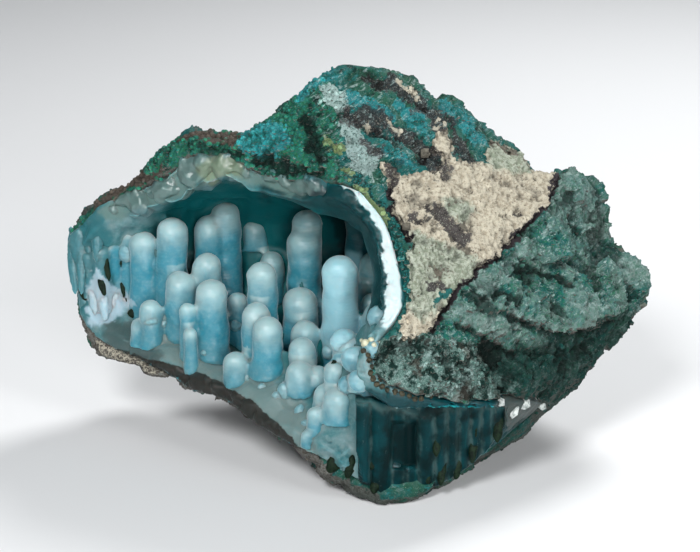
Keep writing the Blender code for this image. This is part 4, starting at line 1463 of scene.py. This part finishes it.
def curtainSheet():
    # a grid laid on the broken wall, cut to its outline
    outline = curtain["outline"]
    xs, ys = (np.arange(min(way), max(way), curtain["step"]) for way in zip(*outline))
    px, py = (grid.ravel() for grid in np.meshgrid(xs, ys))
    depth = curtainDepth(px, py)
    backwards = Vector((0.0, 1.0, 0.0))
    spots = [onPlane(x, y, (0.0, d, 0.0), backwards) for x, y, d in zip(px, py, depth)]
    inside = areaDistance(px, py, outline) > 0.0
    wide = len(xs)
    corners = [(i, i + 1, i + wide + 1, i + wide) for i in range(len(spots) - wide) if (i + 1) % wide]
    faces = [c for c in corners if all(inside[k] for k in c)]
    mesh = bpy.data.meshes.new("curtain")
    mesh.from_pydata([tuple(spot * mm) for spot in spots], [], faces)
    bm = bmesh.new()
    bm.from_mesh(mesh)
    bmesh.ops.delete(bm, geom=[v for v in bm.verts if not v.link_faces], context="VERTS")
    bmesh.ops.recalc_face_normals(bm, faces=bm.faces)
    if sum(f.normal.y for f in bm.faces) > 0.0:
        bmesh.ops.reverse_faces(bm, faces=bm.faces)
    bm.to_mesh(mesh)
    bm.free()
    return mesh


def curtainMesh():
    mesh = modified(curtainSheet(), "SOLIDIFY", thickness=curtain["thickness"] * mm, offset=-1.0)
    mesh = smoothed(mesh, 2)
    paintChalcedony(mesh, [])
    px, py = seen(points(mesh))
    px += 2.0 * wander(points(mesh), 3.0, 4)[:, 0]
    # pale seams between the columns and along the ledge
    edge = np.interp(px, *zip(*curtain["ledge"]))
    seams = 1.0 - smoothstep(0.0, curtain["ledgeSeam"], np.abs(py - edge))
    for middle, half, _, _ in curtain["columns"]:
        away = np.abs(np.abs(px - middle) - half * 0.9)
        seams = np.maximum(seams, 1.0 - smoothstep(0.0, curtain["seamWidth"], away))
    setAttribute(mesh, "seams", seams)
    return mesh


def curtainMaterial():
    c = chalcedonyColours
    material, tree, shader = newMaterial("tealCurtain", c["teal"])
    where = objectPlace(tree)
    upright = noise(tree, scaled(tree, where, (1.0, 1.0, 0.16)), 1.3, 4.0, 0.6)
    cloud = noise(tree, where, 3.0, 3.0, 0.5)
    vein = noise(tree, scaled(tree, where, (1.0, 1.0, 0.3)), 0.6, 3.0, 0.6)
    # the curtain's own teal darkened with painted shade under the overhanging lump, mixed with near-black
    # painted shade by a cloud
    colour = mixed(tree, ranged(tree, cloud, 0.35, 0.65), c["paintedShadow"], c["teal"])
    colour = mixed(tree, ranged(tree, upright, 0.58, 0.78, 0.0, 0.35), colour, c["deep"])
    colour = mixed(tree, ranged(tree, vein, 0.66, 0.74, 0.0, 0.25), colour, c["milky"])
    pale = times(tree, paint(tree, "seams"), ranged(tree, cloud, 0.42, 0.62, 0.05, 0.35))
    colour = mixed(tree, pale, colour, c["lobe"])
    # painted shade in the curtain's dark window and along its lower edge
    colour = mixed(tree, paint(tree, "paintedShadow"), colour, c["paintedShadow"])
    finished(tree, shader, colour, bumped(tree, upright, 0.12), chalcedonyGloss["tealCurtain"])
    return material


def makeCurtain():
    finish = curtainMaterial()
    mesh = curtainMesh()
    piece("column_curtain", mesh, finish, "chalcedony_crust")
    return mesh


# Lobes that hang along the roof's edge

edgeLobes = {
    "voxel": 0.26,
    "seed": 8,
    "stretch": ((0.95, 0.7, 0.7), (1.6, 1.0, 1.15)),
    "uneven": (0.7, 1.2),
    "roughHeight": 2.8,
    "roughSize": 1.8,
    "behind": 0.75,            # how far behind the rim they hang, as a share of their radius
    # where the rim lies behind the open side: pixel across, mm
    "rimDepth": [(100, 0.3), (160, 2.1), (215, 3.9), (240, 5.2), (280, 6.6), (320, 7.4), (345, 8.2)],
    # pixel of the middle, radius in mm
    "places": [
        (104, 212, 1.2), (114, 208, 1.4), (122, 203, 1.0), (132, 201, 1.9), (143, 202, 2.2), (153, 193, 1.2),
        (168, 188, 1.9), (181, 187, 2.6), (189, 176, 1.4), (198, 171, 2.8), (192, 160, 1.5),
        (210, 163, 2.4), (229, 165, 2.3), (241, 167, 1.8), (246, 171, 0.9), (258, 173, 2.4),
        (276, 177, 1.9), (289, 180, 1.6), (305, 184, 2.6), (320, 187, 1.8)],
}


def lobeMaterial():
    material, tree, shader, where, colour = chalcedonyMaterial("clearLobes", wall=True)
    bump = bumped(tree, noise(tree, where, 0.8, 3.0, 0.6), 0.12)
    finished(tree, shader, colour, bump, chalcedonyGloss["clearLobes"])
    return material


def makeLobes():
    finish = lobeMaterial()
    left = Vector((*hollow["mouthLeft"], 0.0)) - rockOrigin
    right = Vector((*hollow["mouthRight"], 0.0)) - rockOrigin
    along = (right - left).normalized()
    inward = Vector((-along.y, along.x, 0.0))
    spots = []
    for px, py, radius in edgeLobes["places"]:
        depth = float(np.interp(px, *zip(*edgeLobes["rimDepth"]))) + radius * edgeLobes["behind"]
        spots.append(onPlane(px, py, left + inward * depth, inward))
    drawing = np.random.default_rng(edgeLobes["seed"])
    stretches = drawing.uniform(*edgeLobes["stretch"], (len(spots), 3))
    stretches *= drawing.uniform(*edgeLobes["uneven"], (len(spots), 1))
    sizes = [tuple(radius * s) for (_, _, radius), s in zip(edgeLobes["places"], stretches)]
    turns = drawing.uniform(-0.5, 0.5, (len(spots), 3))
    mesh = setForms(spots, sizes, turns, finish, 4, edgeLobes["roughHeight"], edgeLobes["roughSize"])
    mesh = smoothed(remeshed(mesh, edgeLobes["voxel"]), 2)
    paintChalcedony(mesh, [])
    piece("roof_lobes", mesh, finish, "chalcedony_crust")


# The lining of the hollow

lining = {
    "voxel": 0.42,
    "coveredKept": 0.1,
    "sunk": 0.65,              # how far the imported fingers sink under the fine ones
    "seat": 0.3,               # how far the back moves out to meet the rock
    "smoothRounds": 3,
    "columnWider": 1.25,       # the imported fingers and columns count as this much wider,
    "columnAbove": 0.8,        # as this much higher
    "columnReach": 0.8,        # and fade out over this
    "lumpHeight": 0.35,
    "lumpSize": 2.2,
    "brokenHeight": 0.55,
    "brokenFrom": (330.0, 350.0),    # pixels across from which the outer faces are broken rough
    "against": (0.45, 0.9),          # distance from the rock at which the lining lies against it
    # how far the lining is broken back along the roof's edge, in mm
    "setback": 1.3,
    "inward": (0.66, 0.75, 0.0),
    "setbackZone": {"soft": 6.0, "areas": [
        [(98, 205), (120, 188), (150, 178), (178, 155), (205, 146), (246, 155), (290, 170), (325, 182),
         (318, 206), (262, 196), (225, 186), (190, 200), (150, 212), (110, 224)]]},
}


def nearColumns(where, places):
    near = np.zeros(len(where))
    for x, y, z, radius in places:
        x, y, z = Vector((x, y, z)) - rockOrigin
        side = np.hypot(where[:, 0] - x, where[:, 1] - y) - radius * lining["columnWider"]
        side = np.where(where[:, 2] > z + lining["columnAbove"], 1e9, side)
        near = np.maximum(near, 1.0 - smoothstep(0.0, lining["columnReach"], side))
    return near


def liningReliefTree():
    tree, source = newTree("lumpLining", {"Lump height": 0.3, "Broken height": 0.5, "Finish": None})
    where = placeInMm(tree)
    lumps = cells(tree, warped(tree, where, 3.0, 0.6), lining["lumpSize"], "SMOOTH_F1")
    height = times(tree, minus(tree, 0.5, lumps), source["Lump height"])
    planes = facets(tree, warped(tree, where, 1.6, 0.4), 1.7, 0.6)
    broken = plus(tree, planes, times(tree, crests(tree, where, 1.2), 0.35))
    broken = times(tree, broken, source["Broken height"])
    height = plus(tree, height, times(tree, broken, named(tree, "broken")))
    height = times(tree, height, named(tree, "shown"))
    endTree(tree, pushed(tree, source["Geometry"], height))
    return tree


def backAndColumns(mesh, rockTree):
    # the shares that lie against the rock, and under the fingers and columns
    where = points(mesh)
    away, _ = distances(where, rockTree, 2.0)
    back = 1.0 - smoothstep(*lining["against"], away)
    return back, nearColumns(where, fingers["places"] + curtain["places"]) * (1.0 - back)


def liningMesh(rockTree, crustTree):
    mesh = remeshed(cadCopy("chalcedony_crust"), lining["voxel"])
    hidden = np.maximum(*backAndColumns(mesh, rockTree))
    kept = 1.0 - hidden.mean() * (1.0 - lining["coveredKept"])
    mesh = modified(mesh, "DECIMATE", group=hidden, ratio=kept, use_collapse_triangulate=False)
    back, columns = backAndColumns(mesh, rockTree)
    where = points(mesh)
    moved = back * lining["seat"] - columns * lining["sunk"]
    setback = zoneShare(*seen(where), lining["setbackZone"]) * smoothstep(0.2, 0.6, facing(normals(mesh)))
    inward = np.array(Vector(lining["inward"])) * (setback * lining["setback"])[:, None]
    setPoints(mesh, where + normals(mesh) * moved[:, None] + inward)
    rimBroken(mesh, crustTree)
    mesh = smoothed(mesh, lining["smoothRounds"])
    behindWall(mesh)
    setAttribute(mesh, "shown", (1.0 - back) * (1.0 - columns))
    paintChalcedony(mesh, [], hollow["wallsDarken"])
    px, py = seen(points(mesh))
    flat = smoothstep(0.5, 0.8, facing(normals(mesh))) * smoothstep(*lining["brokenFrom"], px)
    stony = zoneShare(px, py, chalcedonyZones["stone"])
    outer = depthInHollow(points(mesh)) < hollow["fractureDepth"]
    setAttribute(mesh, "broken", np.maximum(stony, flat * outer))
    return mesh


def liningMaterial():
    material, tree, shader, where, colour = chalcedonyMaterial("milkyLining", wall=True)
    bump = bumped(tree, noise(tree, where, 0.5, 3.0, 0.6), 0.06)
    finished(tree, shader, colour, bump, chalcedonyGloss["milkyLining"])
    return material


def makeLining(rockTree, crustTree):
    finish = liningMaterial()
    values = {"Lump height": lining["lumpHeight"], "Broken height": lining["brokenHeight"], "Finish": finish}
    mesh = grown(liningMesh(rockTree, crustTree), liningReliefTree(), values)
    return piece("chalcedony_lining", mesh, finish, "chalcedony_crust")


# Dark blades, beads, buds and clear plates, set one by one where the picture shows them

smallForms = {
    # pixel, half width and half length in pixels, and lean in degrees; a bead has only its radius
    "dark_blades": [
        (101, 282, 3.2, 15, -14), (106, 264, 3.0, 18, -10), (122, 284, 2.2, 14, -8), (126, 300, 3.2, 10, -28),
        (121, 261, 1.0, 7, 0), (133, 314, 5.0, 6, -40), (82, 290, 3.5, 12, -20), (334, 463, 6.0, 11, 24),
        (350, 467, 4.0, 12, 14), (371, 464, 4.5, 6, 8), (375, 485, 4.0, 9, 10), (362, 489, 8.0, 4, -10),
        (428, 479, 2.6, 5, 0), (437, 444, 3.4, 13, 4), (442, 471, 3.6, 15, 8), (458, 464, 4.0, 16, 8),
        (473, 447, 4.0, 16, 3), (498, 424, 5.0, 18, 2), (334, 363, 2.2, 3.2, 0), (476, 430, 1.0, 8, 0)],
    "dark_beads": [
        (364, 351, 3.2), (368, 355, 2.6), (369, 360, 2.8), (374, 362, 2.4), (372, 367, 3.0), (371, 373, 3.2),
        (373, 379, 3.0), (377, 384, 3.0), (382, 387, 2.8), (387, 390, 2.6), (395, 392, 3.0), (402, 394, 3.0),
        (409, 396, 2.6), (415, 399, 2.8), (421, 399, 2.6), (430, 397, 2.8), (380, 380, 2.4), (390, 382, 2.2),
        (399, 386, 2.4), (440, 396, 2.2), (378, 371, 2.2), (405, 383, 2.2)],
    "cream_beads": [
        (366, 344, 4.6), (371, 340, 3.0), (380, 344, 4.8), (384, 348, 3.6), (377, 349, 3.0), (388, 342, 2.4),
        (362, 341, 2.4), (374, 345, 2.6)],
    "clear_plates": [
        (541, 404, 7.0, 5.0, 60), (550, 399, 10.0, 5.4, 56), (561, 391, 11.0, 5.0, 58),
        (566, 384, 8.0, 4.4, 70), (524, 404, 6.0, 7.0, 50), (533, 396, 6.0, 7.0, 40),
        (514, 410, 5.0, 9.0, 12), (546, 390, 6.0, 6.0, 30), (500, 402, 5.0, 5.0, 60)],
    "small_buds": [
        (286, 391, 8, 9, 0), (277, 397, 5, 6, 0), (236, 323, 6, 9, 0), (229, 314, 5, 7, 0),
        (127, 251, 9, 12, 0), (150, 321, 7, 6, 0), (162, 324, 5, 4, 0), (205, 352, 4, 5, 0),
        (246, 377, 5, 6, 0), (262, 388, 4, 5, 0), (300, 412, 5, 7, 0), (305, 425, 5, 6, 0),
        (344, 342, 12, 13, 0), (356, 360, 13, 13, 0), (372, 350, 9, 10, 0), (360, 381, 10, 11, 0),
        (374, 369, 8, 9, 0), (379, 318, 10, 12, 0), (341, 363, 9, 10, 0), (347, 385, 8, 9, 0),
        (330, 352, 7, 8, 0), (73, 262, 5, 34, -4), (81, 256, 5, 40, 0), (89, 248, 5, 32, 2),
        (97, 238, 5, 26, 0), (92, 292, 5, 24, -8), (103, 300, 5, 22, -6), (114, 300, 5, 20, -6),
        (124, 300, 5, 16, -8), (84, 300, 5, 22, -10)],
}


# name, two colours, roughness and how far light goes in
plainFinishes = {
    "dark_blades": ("darkGreen", (0.001, 0.005, 0.003), (0.008, 0.02, 0.009), 0.6),
    "dark_beads": ("brownBlack", (0.016, 0.018, 0.013), (0.06, 0.055, 0.035), 0.4),
    "cream_beads": ("yellowCream", (0.42, 0.42, 0.26), (0.55, 0.55, 0.42), 0.5, 0.6),
    "clear_plates": ("clearQuartz", (0.16, 0.19, 0.18), (0.5, 0.54, 0.52), 0.25, 0.9),
}

# detail of the ball, and how far it is sunk and how flat it is, as shares of the half width
formShapes = {
    "dark_blades": (3, 0.5, 0.8),
    "dark_beads": (3, 0.1, 0.8),
    "cream_beads": (3, 0.1, 0.8),
    "clear_plates": (1, 0.1, 0.3),
    "small_buds": (4, 0.65, 0.8),
}


def plainMaterial(name, colour, second, roughness, softness=0.0):
    material, tree, shader = newMaterial(name, colour)
    fine = noise(tree, objectPlace(tree), 0.6, 4.0, 0.65)
    mottled = mixed(tree, ranged(tree, fine, 0.35, 0.65), colour, second)
    finished(tree, shader, mottled, bumped(tree, fine, 0.12), {
        "Roughness": roughness, "Specular IOR Level": 0.5 if softness else 0.12,
        "Subsurface Weight": softness, "Subsurface Radius": (1.0, 1.0, 1.0),
        "Subsurface Scale": 0.8 * mm})
    return material


def makeSmallForms(shownTree, fingerFinish):
    scale = 1.0 / view["pixelsPerMm"]
    finishes = {name: plainMaterial(*values) for name, values in plainFinishes.items()}
    finishes["small_buds"] = fingerFinish
    for name, forms in smallForms.items():
        detail, sunk, flatness = formShapes[name]
        spots, sizes, turns = [], [], []
        for px, py, *rest in forms:
            spot, _ = onSurface(px, py, shownTree)
            if spot is None:
                continue
            half = rest[0] * scale
            long = len(rest) > 1
            spots.append(spot + viewAway * half * sunk)
            sizes.append((half * 1.15, half * flatness, rest[1] * scale) if long else (half,) * 3)
            turns.append(facingTurn(rest[2] if long else 0.0))
        mesh = setForms(spots, sizes, turns, finishes[name], detail, 0.5, 0.6)
        if name == "small_buds":
            paintChalcedony(mesh, [])
            setAttribute(mesh, "below", np.full(len(mesh.vertices), 1.5))
        node = "matrix_rock" if name == "dark_beads" else "chalcedony_crust"
        piece(name, mesh, finishes[name], node, smooth=name != "clear_plates")


# The floor, the lights and the camera

studio = {
    "floorColour": (0.72, 0.73, 0.74),
    # in mm: half width, front edge, where it bends up, the bend's radius and its height
    "floor": (1600.0, -900.0, 500.0, 300.0, 1200.0),
    "worldColour": (0.55, 0.6, 0.65),
    "worldStrength": 0.13,
    # place in mm from the specimen's middle, size in mm and power
    "lights": {
        "key": ((-130, -370, 320), 150, 2.1),
        "right": ((300, -300, 230), 140, 0.7),
        "front": ((70, -430, 110), 150, 1.0),
        "back": ((160, 260, 330), 160, 1.6),
    },
}


def makeFloor():
    # a pale sheet that bends up behind the specimen
    half, front, back, bend, height = studio["floor"]
    turns = [math.radians(9 * k) for k in range(1, 11)]
    profile = [(front, 0.0), (back, 0.0)]
    profile += [(back + bend * math.sin(a), bend * (1.0 - math.cos(a))) for a in turns]
    profile.append((back + bend, height))
    verts = [(x * mm, y * mm, z * mm) for x in (-half, half) for y, z in profile]
    count = len(profile)
    mesh = bpy.data.meshes.new("floor")
    mesh.from_pydata(verts, [], [(k, k + count, k + count + 1, k + 1) for k in range(count - 1)])
    mesh.shade_smooth()
    material, _, shader = newMaterial("paleFloor", studio["floorColour"])
    shader.inputs["Base Color"].default_value = (*studio["floorColour"], 1.0)
    shader.inputs["Roughness"].default_value = 0.7
    mesh.materials.append(material)
    link("floor", mesh)


def makeLights():
    aim = Vector(view["target"]) * mm
    for name, (place, size, power) in studio["lights"].items():
        light = bpy.data.lights.new(name, "AREA")
        light.shape = "DISK"
        light.size = size * mm
        light.energy = power
        obj = link(name, light)
        obj.location = aim + Vector(place) * mm
        obj.rotation_euler = (aim - obj.location).to_track_quat("-Z", "Y").to_euler()
    world = bpy.data.worlds.new("studio")
    world.use_nodes = True
    background = world.node_tree.nodes["Background"]
    background.inputs["Color"].default_value = (*studio["worldColour"], 1.0)
    background.inputs["Strength"].default_value = studio["worldStrength"]
    bpy.context.scene.world = world


def makeCamera():
    camera = bpy.data.cameras.new("camera")
    camera.sensor_width = view["sensor"]
    camera.lens = view["sensor"] * view["distance"] * view["pixelsPerMm"] / view["frameWidth"]
    camera.clip_start = 0.01
    camera.clip_end = 10.0
    obj = link("camera", camera)
    obj.location = (Vector(view["target"]) - viewAway * view["distance"]) * mm
    obj.rotation_euler = (math.pi / 2 - tilt, 0.0, 0.0)
    bpy.context.scene.camera = obj
    bpy.context.scene.view_settings.view_transform = "Standard"


makeCamera()
makeLights()
makeFloor()
print("stage ready")
rockTree = treeOf(cadCopy("matrix_rock"))
crustTree = treeOf(cadCopy("chalcedony_crust"))
makeRock(crustTree)
grownFingers = makeFingers(crustTree)
wall = makeCurtain()
makeLobes()
lined = makeLining(rockTree, crustTree)
makeSmallForms(treeOf(lined.data, grownFingers.data, wall), grownFingers.data.materials[0])
